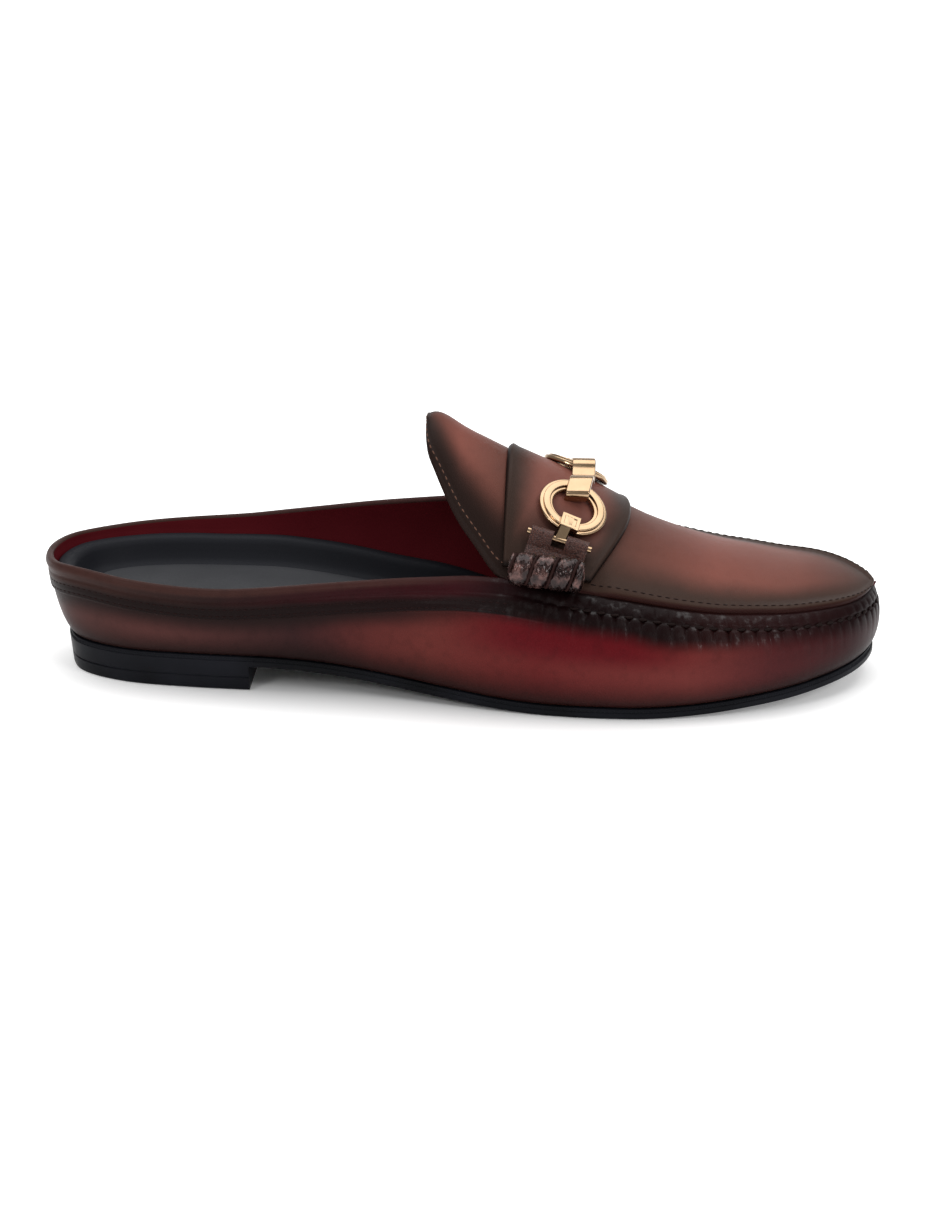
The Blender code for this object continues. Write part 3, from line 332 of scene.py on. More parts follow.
class Finish:
    """A material under construction."""

    def __init__(self, name):
        self.material = bpy.data.materials.new(name)
        self.material.use_nodes = True
        self.tree = self.material.node_tree
        self.shader = self.tree.nodes["Principled BSDF"]

    def node(self, kind, settings=None, *inputs, output=0, **named):
        made = self.tree.nodes.new("ShaderNode" + kind)
        settings = dict(settings or {})
        stops = settings.pop("stops", None)
        for key, value in settings.items():
            setattr(made, key, value)
        if stops:
            ramp = made.color_ramp
            while len(ramp.elements) < len(stops):
                ramp.elements.new(0.5)
            for element, (position, color) in zip(ramp.elements, stops):
                element.position = position
                element.color = (*color, 1) if len(color) == 3 else color
        for key, value in [*enumerate(inputs), *((k.replace("_", " "), v) for k, v in named.items())]:
            if isinstance(value, Link):
                self.tree.links.new(value.socket, made.inputs[key])
            else:
                made.inputs[key].default_value = value
        return Link(self, made.outputs[output])

    def place(self):
        return self.node("TexCoord", output="Object")

    def stored(self, name, kind="Fac"):
        return self.node("Attribute", {"attribute_name": name}, output=kind)

    def noise(self, scale, detail=3.0, rough=0.5, at=None, stretch=None):
        at = at or self.place()
        if stretch:
            at = self.node("VectorMath", {"operation": "MULTIPLY"}, at, stretch)
        return self.node("TexNoise", None, at, Scale=scale, Detail=detail, Roughness=rough)

    def cells(self, scale, at=None):
        return self.node("TexVoronoi", {"feature": "DISTANCE_TO_EDGE"}, at or self.place(), Scale=scale)

    def fade(self, value, low, high):
        """0 at low and 1 at high, smooth between them."""
        return self.node(
            "MapRange", {"interpolation_type": "SMOOTHSTEP"}, value, low, high, 0.0, 1.0
        )

    def mix(self, factor, one, two):
        made = self.tree.nodes.new("ShaderNodeMix")
        made.data_type = "RGBA"
        for socket, value in ((made.inputs[0], factor), (made.inputs[6], one), (made.inputs[7], two)):
            if isinstance(value, Link):
                self.tree.links.new(value.socket, socket)
            else:
                socket.default_value = (*value, 1) if isinstance(value, tuple) else value
        return Link(self, made.outputs[2])

    def bump(self, height, strength, distance, normal=None):
        named = {"Normal": normal} if normal else {}
        return self.node("Bump", None, Strength=strength, Distance=distance, Height=height, **named)

    def feed(self, **named):
        for key, value in named.items():
            socket = self.shader.inputs[key.replace("_", " ")]
            if isinstance(value, Link):
                self.tree.links.new(value.socket, socket)
            else:
                socket.default_value = (*value, 1) if isinstance(value, tuple) else value
        return self.material


# %% Leather
def leather(name, color, grain=1.0, gloss=0.30, shine=0.06):
    """color is a function of the finish that gives the base colour; grain is fine pebbles and pores."""
    finish = Finish(name)
    pebbles = finish.cells(1500)
    pores = finish.noise(900, 2.0)
    cloud = finish.noise(60, 3.0)
    rough = gloss + 0.14 * cloud + 0.05 * pores
    height = finish.fade(pebbles, 0.0, 0.25) * 0.6 + pores * 0.5 + cloud * 1.2
    normal = finish.bump(height, 0.28 * grain, 0.00012)
    finish.feed(Base_Color=color(finish), Roughness=rough, Normal=normal, Specular_IOR_Level=shine)
    if name == "burgundy_leather":
        seam, along = finish.stored("seam"), finish.stored("along")
        waxed = (1 - finish.fade(seam, 8.0, 13.0)) * finish.fade(along, 0.150, 0.175)
        flecks = finish.fade(finish.noise(300, 3.0, 0.6, stretch=(1.0, 1.0, 0.5)), 0.50, 0.72)
        finish.feed(Coat_Weight=waxed * flecks * 0.42 * (1 - finish.fade(along, 0.255, 0.280)), Coat_Roughness=0.22)
    return finish.material


def ramp(finish, factor, stops):
    return finish.node("ValToRGB", {"stops": stops}, factor)


def tub_color(finish):
    """Burgundy, redder at the ball, burnished black-brown under the seam, with painted shade just below the collar
    band and towards the sole, where the wall turns under.
    """
    seam, wall, along = (finish.stored(name) for name in ("seam", "wall", "along"))
    cloud, fine = finish.noise(28, 4.0), finish.noise(240, 3.0)
    share = along / LENGTH + cloud * 0.08 - 0.04
    base = ramp(finish, share, [
        (0.00, (0.050, 0.0195, 0.0170)), (0.16, (0.072, 0.0245, 0.0220)), (0.31, (0.030, 0.0105, 0.0110)),
        (0.46, (0.112, 0.0215, 0.0180)), (0.60, (0.104, 0.0120, 0.0120)), (0.78, (0.125, 0.0235, 0.0210)),
        (0.88, (0.058, 0.0110, 0.0120)), (0.96, (0.022, 0.0040, 0.0050)),
    ])
    ball = finish.fade(along, 0.140, 0.175) * (1 - finish.fade(along, 0.205, 0.245))
    upper_half = finish.fade(wall + cloud * 0.10, 0.42, 0.62)
    base = finish.mix(ball * upper_half * 0.9, base, (0.084, 0.0030, 0.0060))
    front = finish.fade(along, 0.120, 0.175)
    toe = finish.fade(along, 0.215, 0.280)
    below = seam + cloud * 5.0 - 2.5 + toe * 3.0
    dark = (1 - finish.fade(below, 8.0, 14.5)) * front * (1 - toe * 0.20)
    base = finish.mix(dark * 0.97, base, (0.0035, 0.0018, 0.0018))
    # painted shade on the tub just below the collar band's overlapping edge
    shade_under_band = (1 - finish.fade(seam + cloud * 4.0 - 2.0, 10.5, 18.5)) * (1 - front)
    base = finish.mix(shade_under_band * 0.90, base, (0.0090, 0.0045, 0.0042))
    # painted shade: the wall gets darker towards the sole, where it turns under and faces the floor
    low = 1 - finish.fade(wall + cloud * 0.14, 0.06, 0.46)
    base = finish.mix(low * 0.92, base, (0.0105, 0.0050, 0.0046))
    heel_band = ramp(finish, share, [
        (0.00, (0.0360, 0.0160, 0.0130)), (0.20, (0.0170, 0.0070, 0.0065)), (0.36, (0.0230, 0.0030, 0.0045)),
        (0.50, (0.0260, 0.0028, 0.0045)), (0.60, (0.0040, 0.0020, 0.0022)),
    ])
    band = (1 - finish.fade(seam, 9.9, 10.5)) * (1 - finish.fade(along, 0.165, 0.190))
    folded = (1 - finish.fade(seam, 0.8, 2.6)) * (1 - front)
    heel_band = finish.mix(finish.fade(seam + cloud * 3.0, 5.5, 8.5) * 0.9, heel_band, (0.0060, 0.0028, 0.0027))
    heel_band = finish.mix(folded * 0.7, heel_band, (0.0480, 0.0200, 0.0165))
    base = finish.mix(band, base, heel_band)
    return finish.mix(finish.fade(fine, 0.45, 0.75) * 0.16, base, (0.004, 0.002, 0.002))


def apron_color(finish):
    """Dusty brown-red, lighter in the middle of the dome and darker towards its edges, beside the strap and at the
    toe: painted light and shade.
    """
    seam, along = finish.stored("seam"), finish.stored("along")
    cloud, fine = finish.noise(30, 4.0), finish.noise(260, 3.0)
    # painted light and shade: the dome's middle lighter, its edges, the leather beside the strap and the toe darker
    inward = finish.fade(0 - seam + cloud * 9.0 - 4.5, 4.0, 19.0)
    away = ramp(finish, along / LENGTH, [
        (0.44, (0.0, 0.0, 0.0)), (0.50, (1.0, 1.0, 1.0)), (0.57, (0.30, 0.30, 0.30)), (0.68, (0.25, 0.25, 0.25)),
        (0.80, (1.0, 1.0, 1.0)), (0.90, (0.75, 0.75, 0.75)), (0.98, (0.10, 0.10, 0.10)),
    ])
    middle = finish.mix(cloud, (0.165, 0.0520, 0.0390), (0.205, 0.0700, 0.0520))
    color = finish.mix(inward * away, (0.0360, 0.0190, 0.0135), middle)
    # painted shade on the tongue and just behind the strap, towards the edges
    tongue_edge_shade = finish.fade(along, 0.118, 0.140) * (1 - finish.fade(along, 0.165, 0.180))
    tongue_edge_shade = tongue_edge_shade * (1 - finish.fade(0 - seam + cloud * 6.0, 9.0, 24.0))
    color = finish.mix(tongue_edge_shade * 0.85, color, (0.0110, 0.0060, 0.0050))
    lip = 1 - finish.fade(0 - seam, 0.2, 1.3)
    color = finish.mix(lip * 0.9, color, (0.0200, 0.0045, 0.0040))
    return finish.mix(finish.fade(fine, 0.45, 0.75) * 0.07, color, (0.010, 0.006, 0.005))


def strap_color(finish):
    """As the apron: painted light and shade, lighter in the middle and darker towards the edges, with near-black
    folded edges as painted shadow of the gap under them.
    """
    edge = finish.stored("edge")
    cloud, fine = finish.noise(34, 4.0), finish.noise(260, 3.0)
    # painted light and shade: lighter in the middle of the strap, darker towards its edges
    inward = finish.fade(edge + cloud * 7.0 - 3.5, 2.5, 14.0)
    middle = finish.mix(cloud, (0.145, 0.0500, 0.0380), (0.205, 0.0760, 0.0580))
    color = finish.mix(inward, (0.0330, 0.0190, 0.0145), middle)
    color = finish.mix(finish.fade(fine, 0.45, 0.75) * 0.07, color, (0.010, 0.006, 0.005))
    # painted shadow: the folded edges go near black, as the gap under them
    return finish.mix((1 - finish.fade(edge, 0.0, 0.9)) * 0.93, color, (0.0050, 0.0030, 0.0026))


def lining_color(finish):
    cloud = finish.noise(40, 3.0)
    return finish.mix(cloud, (0.080, 0.0050, 0.0085), (0.120, 0.0105, 0.0145))


def bronze_color(finish):
    """Dark metallic bronze, lighter on the crests of its crumples: a painted highlight."""
    crumple = finish.noise(230, 2.0, 0.5)
    return finish.mix(finish.fade(crumple, 0.42, 0.70), (0.0150, 0.0060, 0.0055), (0.1250, 0.0620, 0.0540))


burgundy = leather("burgundy_leather", tub_color)
brown = leather("brushed_brown_leather", apron_color, gloss=0.33)
strap_leather = leather("strap_leather", strap_color, gloss=0.32)
red_lining = leather("red_lining", lining_color, grain=1.2, gloss=0.44, shine=0.06)


def crinkled_bronze():
    finish = Finish("crinkled_bronze_leather")
    crumple = finish.noise(230, 2.0, 0.5)
    cells = finish.cells(1100)
    normal = finish.bump(crumple * 1.0 + finish.fade(cells, 0.0, 0.3) * 0.04, 0.9, 0.0016)
    return finish.feed(Base_Color=bronze_color(finish), Roughness=0.15 + 0.22 * crumple, Normal=normal,
                       Metallic=0.75, Specular_IOR_Level=0.3, Coat_Weight=0.35, Coat_Roughness=0.10)


def grained_leather():
    """The fine grained red-brown leather of the loops."""
    finish = Finish("grained_loop_leather")
    tone = finish.noise(160, 3.0)
    cells = finish.cells(1500)
    color = finish.mix(tone, (0.0500, 0.0170, 0.0130), (0.110, 0.0450, 0.0330))
    color = finish.mix(finish.fade(cells, 0.0, 0.16), (0.0120, 0.0050, 0.0045), color)
    return finish.feed(Base_Color=color, Roughness=0.26 + 0.14 * tone, Specular_IOR_Level=0.25,
                       Normal=finish.bump(finish.fade(cells, 0.0, 0.3), 0.5, 0.0002))


def polished_gold():
    finish = Finish("light_gold")
    smudge = finish.noise(180, 3.0)
    scratch = finish.noise(700, 2.0, stretch=(1.0, 5.0, 1.0))
    color = finish.mix(smudge, (0.36, 0.235, 0.135), (0.48, 0.34, 0.215))
    return finish.feed(Base_Color=color, Roughness=0.13 + 0.10 * smudge, Metallic=1.0,
                       Normal=finish.bump(scratch, 0.05, 0.00005))


def black_sole():
    finish = Finish("black_sole")
    dust = finish.noise(300, 4.0)
    broad = finish.noise(24, 3.0)
    color = finish.mix(finish.fade(broad, 0.35, 0.7), (0.0030, 0.0032, 0.0042), (0.0085, 0.0090, 0.0125))
    height = dust * 0.7 + finish.noise(1400, 2.0) * 0.5
    return finish.feed(Base_Color=color, Roughness=0.30 + 0.22 * dust, Normal=finish.bump(height, 0.25, 0.0001),
                       Specular_IOR_Level=0.07)


def footbed_leather():
    finish = Finish("footbed_leather")
    bed = finish.stored("bed")
    cloud = finish.noise(45, 3.0)
    nap = finish.noise(1100, 3.0)
    grey = finish.mix(cloud, (0.0300, 0.0310, 0.0340), (0.0480, 0.0490, 0.0530))
    color = finish.mix(bed, (0.0105, 0.0112, 0.0145), grey)
    # painted shade in the sunk groove between the padded wall and the bed
    groove_shade = finish.fade(bed + cloud * 0.3, 0.15, 0.45) * (1 - finish.fade(bed + cloud * 0.3, 0.75, 1.10))
    color = finish.mix(groove_shade * 0.85, color, (0.0025, 0.0025, 0.0030))
    height = nap * 0.8 + finish.fade(finish.cells(1300), 0.0, 0.25) * 0.4
    return finish.feed(Base_Color=color, Roughness=0.46 + 0.2 * nap, Normal=finish.bump(height, 0.3, 0.00012),
                       Specular_IOR_Level=0.08)


def thread(name, color):
    finish = Finish(name)
    twist = finish.noise(2600, 2.0, stretch=(0.4, 1.0, 1.0))
    shade = finish.mix(twist, tuple(c * 0.7 for c in color), tuple(min(1.0, c * 1.3) for c in color))
    return finish.feed(Base_Color=shade, Roughness=0.55, Normal=finish.bump(twist, 0.5, 0.0001),
                       Specular_IOR_Level=0.06)


bronze, gold, sole_rubber, footbed = crinkled_bronze(), polished_gold(), black_sole(), footbed_leather()
loop_leather = grained_leather()
cord_leather = thread("brown_cord", (0.020, 0.008, 0.007))
dark_thread = thread("dark_brown_thread", (0.0085, 0.0040, 0.0036))
red_thread = thread("red_brown_thread", (0.0120, 0.0042, 0.0040))
tan_thread = thread("tan_thread", (0.120, 0.060, 0.042))
print("finishes:", len(bpy.data.materials))


# %% [markdown]
# Each piece is a grid of points, worked out with numpy and then handed to Blender once. A sheet becomes
# leather when it gets a second face behind it and a closed edge.

# %% Mesh helpers
def make_piece(name, points, faces, looks, slots=None, values=None, replaces=(), smooth=60):
    """Makes one mesh object; values are named numbers at the points, for the finish to read."""
    data = bpy.data.meshes.new(name)
    data.from_pydata(np.asarray(points).tolist(), [], faces)
    for look in looks:
        data.materials.append(look)
    if slots is not None:
        data.polygons.foreach_set("material_index", np.asarray(slots, np.int32))
    for key, value in (values or {}).items():
        data.attributes.new(key, "FLOAT", "POINT").data.foreach_set("value", np.asarray(value, np.float32))
    work = bmesh.new()
    work.from_mesh(data)
    bmesh.ops.remove_doubles(work, verts=work.verts, dist=1e-7)
    bmesh.ops.recalc_face_normals(work, faces=work.faces)
    if work.calc_volume(signed=True) < 0:
        bmesh.ops.reverse_faces(work, faces=work.faces)
    work.to_mesh(data)
    work.free()
    data.shade_smooth()
    data.set_sharp_from_angle(angle=math.radians(smooth))
    piece = bpy.data.objects.new(name, data)
    scene.collection.objects.link(piece)
    finish_piece(piece, replaces)
    return piece


def finish_piece(piece, replaces=()):
    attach(piece, "root")
    if replaces:
        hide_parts(*replaces)


def grid_faces(one, two, closed=False):
    """Quads between two rows of point numbers."""
    one, two = np.asarray(one), np.asarray(two)
    if closed:
        one, two = np.r_[one, one[:1]], np.r_[two, two[:1]]
    return np.stack([one[:-1], one[1:], two[1:], two[:-1]], 1).tolist()


def sheet_normals(points, faces):
    quads = np.array([face if len(face) == 4 else [*face, face[-1]] for face in faces])
    a, b, c, d = (points[quads[:, n]] for n in range(4))
    normal = np.cross(c - a, d - b)
    total = np.zeros_like(points)
    for n in range(4):
        np.add.at(total, quads[:, n], normal)
    return unit(total)


def ripple(x, y, z, seed=0.0):
    """A smooth, repeatable unevenness between about -1 and 1."""
    a = np.sin(61 * x + 2.1 * np.sin(47 * y + seed) + 1.7 * seed)
    b = np.sin(113 * y + 1.9 * np.sin(71 * z + 39 * x + seed) + 0.6)
    c = np.sin(151 * z + 1.3 * np.sin(97 * x + 2.3 * seed) + 2.2)
    return (a + b + c) / 3

# %% [markdown]
# The upper is one hollow shell: the tub round the foot, its collar band, and the apron with its tongue.
# Its rows lie close together near the seam, where the tub's leather is drawn into gathers and sewn up
# under the apron's lip. Gathers, grooves and the collar's step are heights added along the normals.

# %% Upper
GATHER_PITCH = 4.7  # mm, between two gathers along the seam
FRONT_STEPS, BACK_STEPS, TONGUE_STEPS = 260, 96, 20
ROW_DEPTHS = [
    0, 0.25, 0.5, 0.8, 1.2, 1.7, 2.2, 2.7, 3.2, 3.6, 4.0, 4.4, 4.8, 5.3, 6.0, 6.7, 7.5, 8.4, 9.2, 9.8,
    10.15, 10.4, 10.65, 11.2, 12.2,
]
LOW_SHARES = [0.9, 0.8, 0.7, 0.6, 0.5, 0.4, 0.31, 0.23, 0.16, 0.10, 0.055, 0.02, 0.0]
STITCH_ROWS = {"high": 6.7, "low": 9.2, "gather": 4.4}

ring = Outline([(THROAT, FRONT_STEPS), (0, BACK_STEPS)])
rise_mm = ring.rise() * 1000
front = smoothstep((ring.x - THROAT) / 0.024)
deep = 1 - ROW_DEPTHS[-1] / rise_mm
shares = [1 - depth / rise_mm for depth in ROW_DEPTHS] + [deep * share for share in LOW_SHARES]
top_row = ring.wall(1.0)
chords = np.linalg.norm(np.roll(top_row, -1, axis=0) - top_row, axis=1) * 1000
from_toe = np.r_[0, np.cumsum(chords)[:-1]]
from_toe = np.minimum(from_toe, chords.sum() - from_toe)


def hill(value, middle, breadth):
    return np.exp(-(((value - middle) / breadth) ** 2))


def gather_phase(arc):
    """0 in the middle of a gather, 0.5 between two."""
    return np.abs((arc / GATHER_PITCH + 0.5) % 1.0 - 0.5)


def uneven(arc, seed):
    """A steady random share for each gather."""
    index = np.floor(arc / GATHER_PITCH + 0.5)
    return (np.sin(index * 12.9898 + seed) * 43758.5453) % 1.0


def tub_detail(depth, side):
    """How far the tub's leather stands out, in mm, at depths under the seam or rim."""
    band = (BAND_STEP * 1000) * (1 - smoothstep((depth - 10.1) / 0.55))
    rim = 0.45 * hill(depth, 1.3, 1.1) - 0.35 * hill(depth, 3.9, 0.55)
    sewn = -0.16 * hill(depth, STITCH_ROWS["high"], 0.4) - 0.16 * hill(depth, STITCH_ROWS["low"], 0.4)
    collar = (band + rim + sewn) * (1 - front)
    phase = gather_phase(from_toe)
    strength = (0.55 + 0.45 * smoothstep((0.275 - ring.x) / 0.04)) * (0.8 + 0.4 * uneven(from_toe, side))
    between = np.exp(-(((0.5 - phase) / 0.13) ** 2))
    plump = np.sqrt(np.clip(1 - (phase / 0.5) ** 2, 0, 1))
    strip = np.sin(np.pi * np.clip((depth - 0.5) / 3.6, 0, 1))
    lumps = strip * (0.75 * plump - 0.25)
    reach = 2.2 + 2.8 * uneven(from_toe, 3.7 + side)
    below = np.clip(depth - 4.3, 0, None)
    fade_in = smoothstep((depth - 4.0) / 0.8)
    puckers = fade_in * np.exp(-below / reach) * (0.45 * plump - 1.0 * between)
    seams = -0.45 * hill(depth, 0.0, 0.45) - 0.55 * hill(depth, 4.35, 0.45)
    return collar + front * (strength * (lumps + puckers) + seams)


def lip_detail(x, inward):
    """How far the apron's edge stands out, in mm, at distances in mm from the seam."""
    edge_round = np.sqrt(np.clip(inward / (LIP_ROUND * 1000), 0, 1))
    fall = 1 - 0.85 * smoothstep((inward - 2 * LIP_ROUND * 1000) / (LIP_BREADTH * 1000))
    sewn = -0.16 * hill(inward, 3.3, 0.45) * smoothstep((x - LIP_START) / LIP_GROWTH)
    return LIP_HEIGHT * 1000 * edge_round * fall * smoothstep((x - LIP_START) / LIP_GROWTH) + sewn


def across_shares(breadth_mm):
    edge = np.array([0, 0.25, 0.5, 0.8, 1.2, 1.8, 2.5, 3.3, 4.2, 5.5, 7.5, 10.0])
    edge = edge * min(1.0, breadth_mm / 45) / (breadth_mm / 2)
    middle = np.linspace(-1 + edge[-1], 1 - edge[-1], 10)[1:-1]
    return np.r_[-1 + edge, middle, (1 - edge)[::-1]]


points, detail, seam_at, wall_at, rows, faces = [], [], [], [], [], []
count = 0


def add_row(row, out_mm, seam_mm, share):
    global count
    points.append(row)
    detail.append(np.broadcast_to(out_mm, len(row)))
    seam_at.append(np.broadcast_to(seam_mm, len(row)))
    wall_at.append(np.broadcast_to(share, len(row)))
    count += len(row)
    return np.arange(count - len(row), count)


side_seed = np.where(ring.outer, 0.0, 5.0)
for share in shares:
    depth = rise_mm * (1 - share)
    soft = 0.22 * ripple(ring.x, ring.y, share * 0.03) * np.clip(share * 3, 0, 1) * smoothstep((depth - 9) / 6)
    rows.append(add_row(ring.wall(share), tub_detail(depth, side_seed) + soft, depth, share))
for high, low in zip(rows, rows[1:]):
    faces += grid_faces(high, low, closed=True)
tub_faces = len(faces)

seam_row = rows[0]
lines = []
for k in range(1, FRONT_STEPS + 1):
    left, right = top_row[k], top_row[-k]
    breadth = np.linalg.norm(right - left) * 1000
    across = across_shares(breadth)[1:-1]
    inward = (1 - np.abs(across)) * breadth / 2
    x = (left[0] + right[0]) / 2
    line = arched(left, right, across[:, None])
    soft = 0.12 * ripple(line[:, 0], line[:, 1], line[:, 2], 1.0) * smoothstep((inward - 3) / 8)
    made = add_row(line, lip_detail(x, inward) + soft, -inward, 1.0)
    lines.append(np.r_[seam_row[k], made, seam_row[-k]])
faces += [[seam_row[0], *pair] for pair in zip(lines[0][:-1], lines[0][1:])]
throat = (left[0] + right[0]) / 2
for turn in np.linspace(0, 1, TONGUE_STEPS + 1)[1:]:
    x = throat - TONGUE_LENGTH * math.sin(turn * TAU / 4)
    one, two = rim_at(x, True), rim_at(x, False)
    kept = tongue_breadth(turn)
    breadth = (two[1] - one[1]) * kept * 1000
    across = across_shares(breadth) * kept
    inward = (1 - np.abs(across) / kept) * breadth / 2
    roll = 0.35 * hill(inward, 1.4, 1.0) - 0.15 * hill(inward, 3.4, 0.5)
    lines.append(add_row(arched(one, two, across[:, None]), roll, -inward - 1.0, 1.0))
for one, two in zip(lines, lines[1:]):
    faces += grid_faces(one, two)

points, detail, seam_at, wall_at = (np.concatenate(part) for part in (points, detail, seam_at, wall_at))
normals = sheet_normals(points, faces)
if normals[rows[20][0]][0] < 0:
    normals = -normals
outside = points + normals * detail[:, None] / 1000
inside = points - normals * LEATHER
inside[rows[-1], 2] = outside[rows[-1], 2]

back_run = list(range(FRONT_STEPS, ring.count - FRONT_STEPS + 1))
tongue = lines[FRONT_STEPS:]
mouth = [seam_row[i] for i in back_run] + [line[-1] for line in tongue]
mouth += list(tongue[-1][-2::-1]) + [line[0] for line in tongue[-2::-1]]
middle = (outside[mouth] + inside[mouth]) / 2
half = (outside[mouth] - inside[mouth]) / 2
onward = np.roll(middle, -1, axis=0) - np.roll(middle, 1, axis=0)
away = unit(np.cross(onward, half))
probe = len(back_run) // 2
if np.dot(away[probe], middle[probe] - points[rows[6][back_run[probe]]]) < 0:
    away = -away
size = len(points)
shell = [outside, inside]
for turn in (0.25, 0.5, 0.75):
    bend = half * math.cos(turn * math.pi) + away * LEATHER * 0.5 * math.sin(turn * math.pi)
    shell.append(middle + bend)
first = 2 * size
rim_rows = [np.array(mouth)] + [first + n * len(mouth) + np.arange(len(mouth)) for n in range(3)]
rim_rows.append(np.array(mouth) + size)
all_faces = faces + [[index + size for index in face][::-1] for face in faces]
slots = [0] * tub_faces + [1] * (len(faces) - tub_faces) + [2] * len(faces)
foot = grid_faces(rows[-1] + size, rows[-1], closed=True)
all_faces += foot
slots += [0] * len(foot)
for one, two in zip(rim_rows, rim_rows[1:]):
    closing = grid_faces(one, two, closed=True)
    all_faces += closing
    slots += [0] * len(back_run) + [1] * (len(closing) - len(back_run))


def rim_values(values):
    return np.concatenate([values, values, *[values[mouth]] * 3])


shell = np.vstack(shell)
upper = make_piece(
    "upper_leather", shell + MOVE, all_faces, [burgundy, brown, red_lining], slots,
    {"seam": rim_values(seam_at), "wall": rim_values(wall_at), "along": shell[:, 0]},
    replaces=["upper"],
)
print("upper faces:", len(upper.data.polygons), "seam on the outer side:", round(from_toe[FRONT_STEPS]), "mm")


# %% [markdown]
# Stitches repeat along a line. One tree of nodes sets a small rounded bar at every point of a path,
# turned along it and standing on the leather, and the same tree also cuts the fine ribs of the sole.

# %% A row of small bars along a path
def row_tree():
    tree = bpy.data.node_groups.new("row_along_path", "GeometryNodeTree")
    face = tree.interface
    face.new_socket("Geometry", in_out="INPUT", socket_type="NodeSocketGeometry")
    for name in ("Length", "Breadth", "Height", "Turn"):
        face.new_socket(name, in_out="INPUT", socket_type="NodeSocketFloat")
    face.new_socket("Material", in_out="INPUT", socket_type="NodeSocketMaterial")
    face.new_socket("Geometry", in_out="OUTPUT", socket_type="NodeSocketGeometry")
    nodes, links = tree.nodes, tree.links
    given, result = nodes.new("NodeGroupInput"), nodes.new("NodeGroupOutput")

    def add(kind, settings=None, **inputs):
        made = nodes.new(kind)
        for key, value in (settings or {}).items():
            setattr(made, key, value)
        for key, value in inputs.items():
            socket = made.inputs[int(key[1:])] if key[0] == "n" and key[1:].isdigit() else made.inputs[key]
            if isinstance(value, bpy.types.NodeSocket):
                links.new(value, socket)
            else:
                socket.default_value = value
        return made

    path = add("GeometryNodeMeshToCurve", Mesh=given.outputs["Geometry"])
    bead = add("GeometryNodeMeshUVSphere", Segments=8, Rings=6, Radius=0.5)
    size = add("ShaderNodeCombineXYZ", X=given.outputs["Length"], Y=given.outputs["Breadth"],
               Z=given.outputs["Height"])
    bar = add("GeometryNodeTransform", Geometry=bead.outputs["Mesh"], Scale=size.outputs[0])
    up = add("GeometryNodeInputNamedAttribute", {"data_type": "FLOAT_VECTOR"}, Name="up")
    along = add("GeometryNodeInputTangent")
    stand = add("FunctionNodeAlignRotationToVector", {"axis": "Z"}, Vector=up.outputs[0])
    aim = add("FunctionNodeAlignRotationToVector", {"axis": "X", "pivot_axis": "Z"},
              Rotation=stand.outputs[0], Vector=along.outputs[0])
    turn = add("FunctionNodeAxisAngleToRotation", Axis=(0, 0, 1), Angle=given.outputs["Turn"])
    turned = add("FunctionNodeRotateRotation", {"rotation_space": "LOCAL"}, Rotation=aim.outputs[0])
    links.new(turn.outputs[0], turned.inputs[1])
    placed = add("GeometryNodeInstanceOnPoints", Points=path.outputs[0], Instance=bar.outputs[0],
                 Rotation=turned.outputs[0])
    real = add("GeometryNodeRealizeInstances", Geometry=placed.outputs[0])
    painted = add("GeometryNodeSetMaterial", Geometry=real.outputs[0], Material=given.outputs["Material"])
    links.new(painted.outputs[0], result.inputs[0])
    return tree


ROW_TREE = row_tree()


def set_inputs(modifier, tree, **values):
    """Sets a modifier's inputs by the sockets' identifiers."""
    for item in tree.interface.items_tree:
        if item.in_out == "INPUT" and item.name in values:
            modifier[item.identifier] = values[item.name]


def grow(name, starts, tree, look, replaces=(), slot=None, rides=True, **values):
    """Runs a tree on a mesh of points, then keeps its result as a plain mesh."""
    data = bpy.data.meshes.new(name + "_path")
    verts, edges, ups = [], [], []
    for path, up in starts:
        first = len(verts)
        verts += np.asarray(path).tolist()
        ups += np.asarray(up).tolist()
        edges += [(first + i, first + i + 1) for i in range(len(path) - 1)]
    data.from_pydata(verts, edges, [])
    data.attributes.new("up", "FLOAT_VECTOR", "POINT").data.foreach_set("vector", np.ravel(ups))
    helper = bpy.data.objects.new(name + "_path", data)
    scene.collection.objects.link(helper)
    modifier = helper.modifiers.new("grow", "NODES")
    modifier.node_group = tree
    set_inputs(modifier, tree, Material=look, **values)
    bpy.context.view_layer.update()
    evaluated = helper.evaluated_get(bpy.context.evaluated_depsgraph_get())
    result = bpy.data.meshes.new_from_object(evaluated)
    helper.modifiers.clear()
    bpy.data.objects.remove(helper, do_unlink=True)
    for key in [a.name for a in result.attributes if a.name in ("up", "tilt", "radius")]:
        result.attributes.remove(result.attributes[key])
    result.name = name
    result.shade_smooth()
    piece = bpy.data.objects.new(name, result)
    scene.collection.objects.link(piece)
    if rides:
        finish_piece(piece, replaces)
    return piece


def spaced(path, ups, pitch, start=0.0):
    """Points at an even pitch along a path, all in mm of length, with their directions up."""
    length = np.r_[0, np.cumsum(np.linalg.norm(np.diff(path, axis=0), axis=1))] * 1000
    at = np.arange(start, length[-1], pitch)
    return tuple(np.stack([np.interp(at, length, row[:, n]) for n in range(3)], 1) for row in (path, ups))


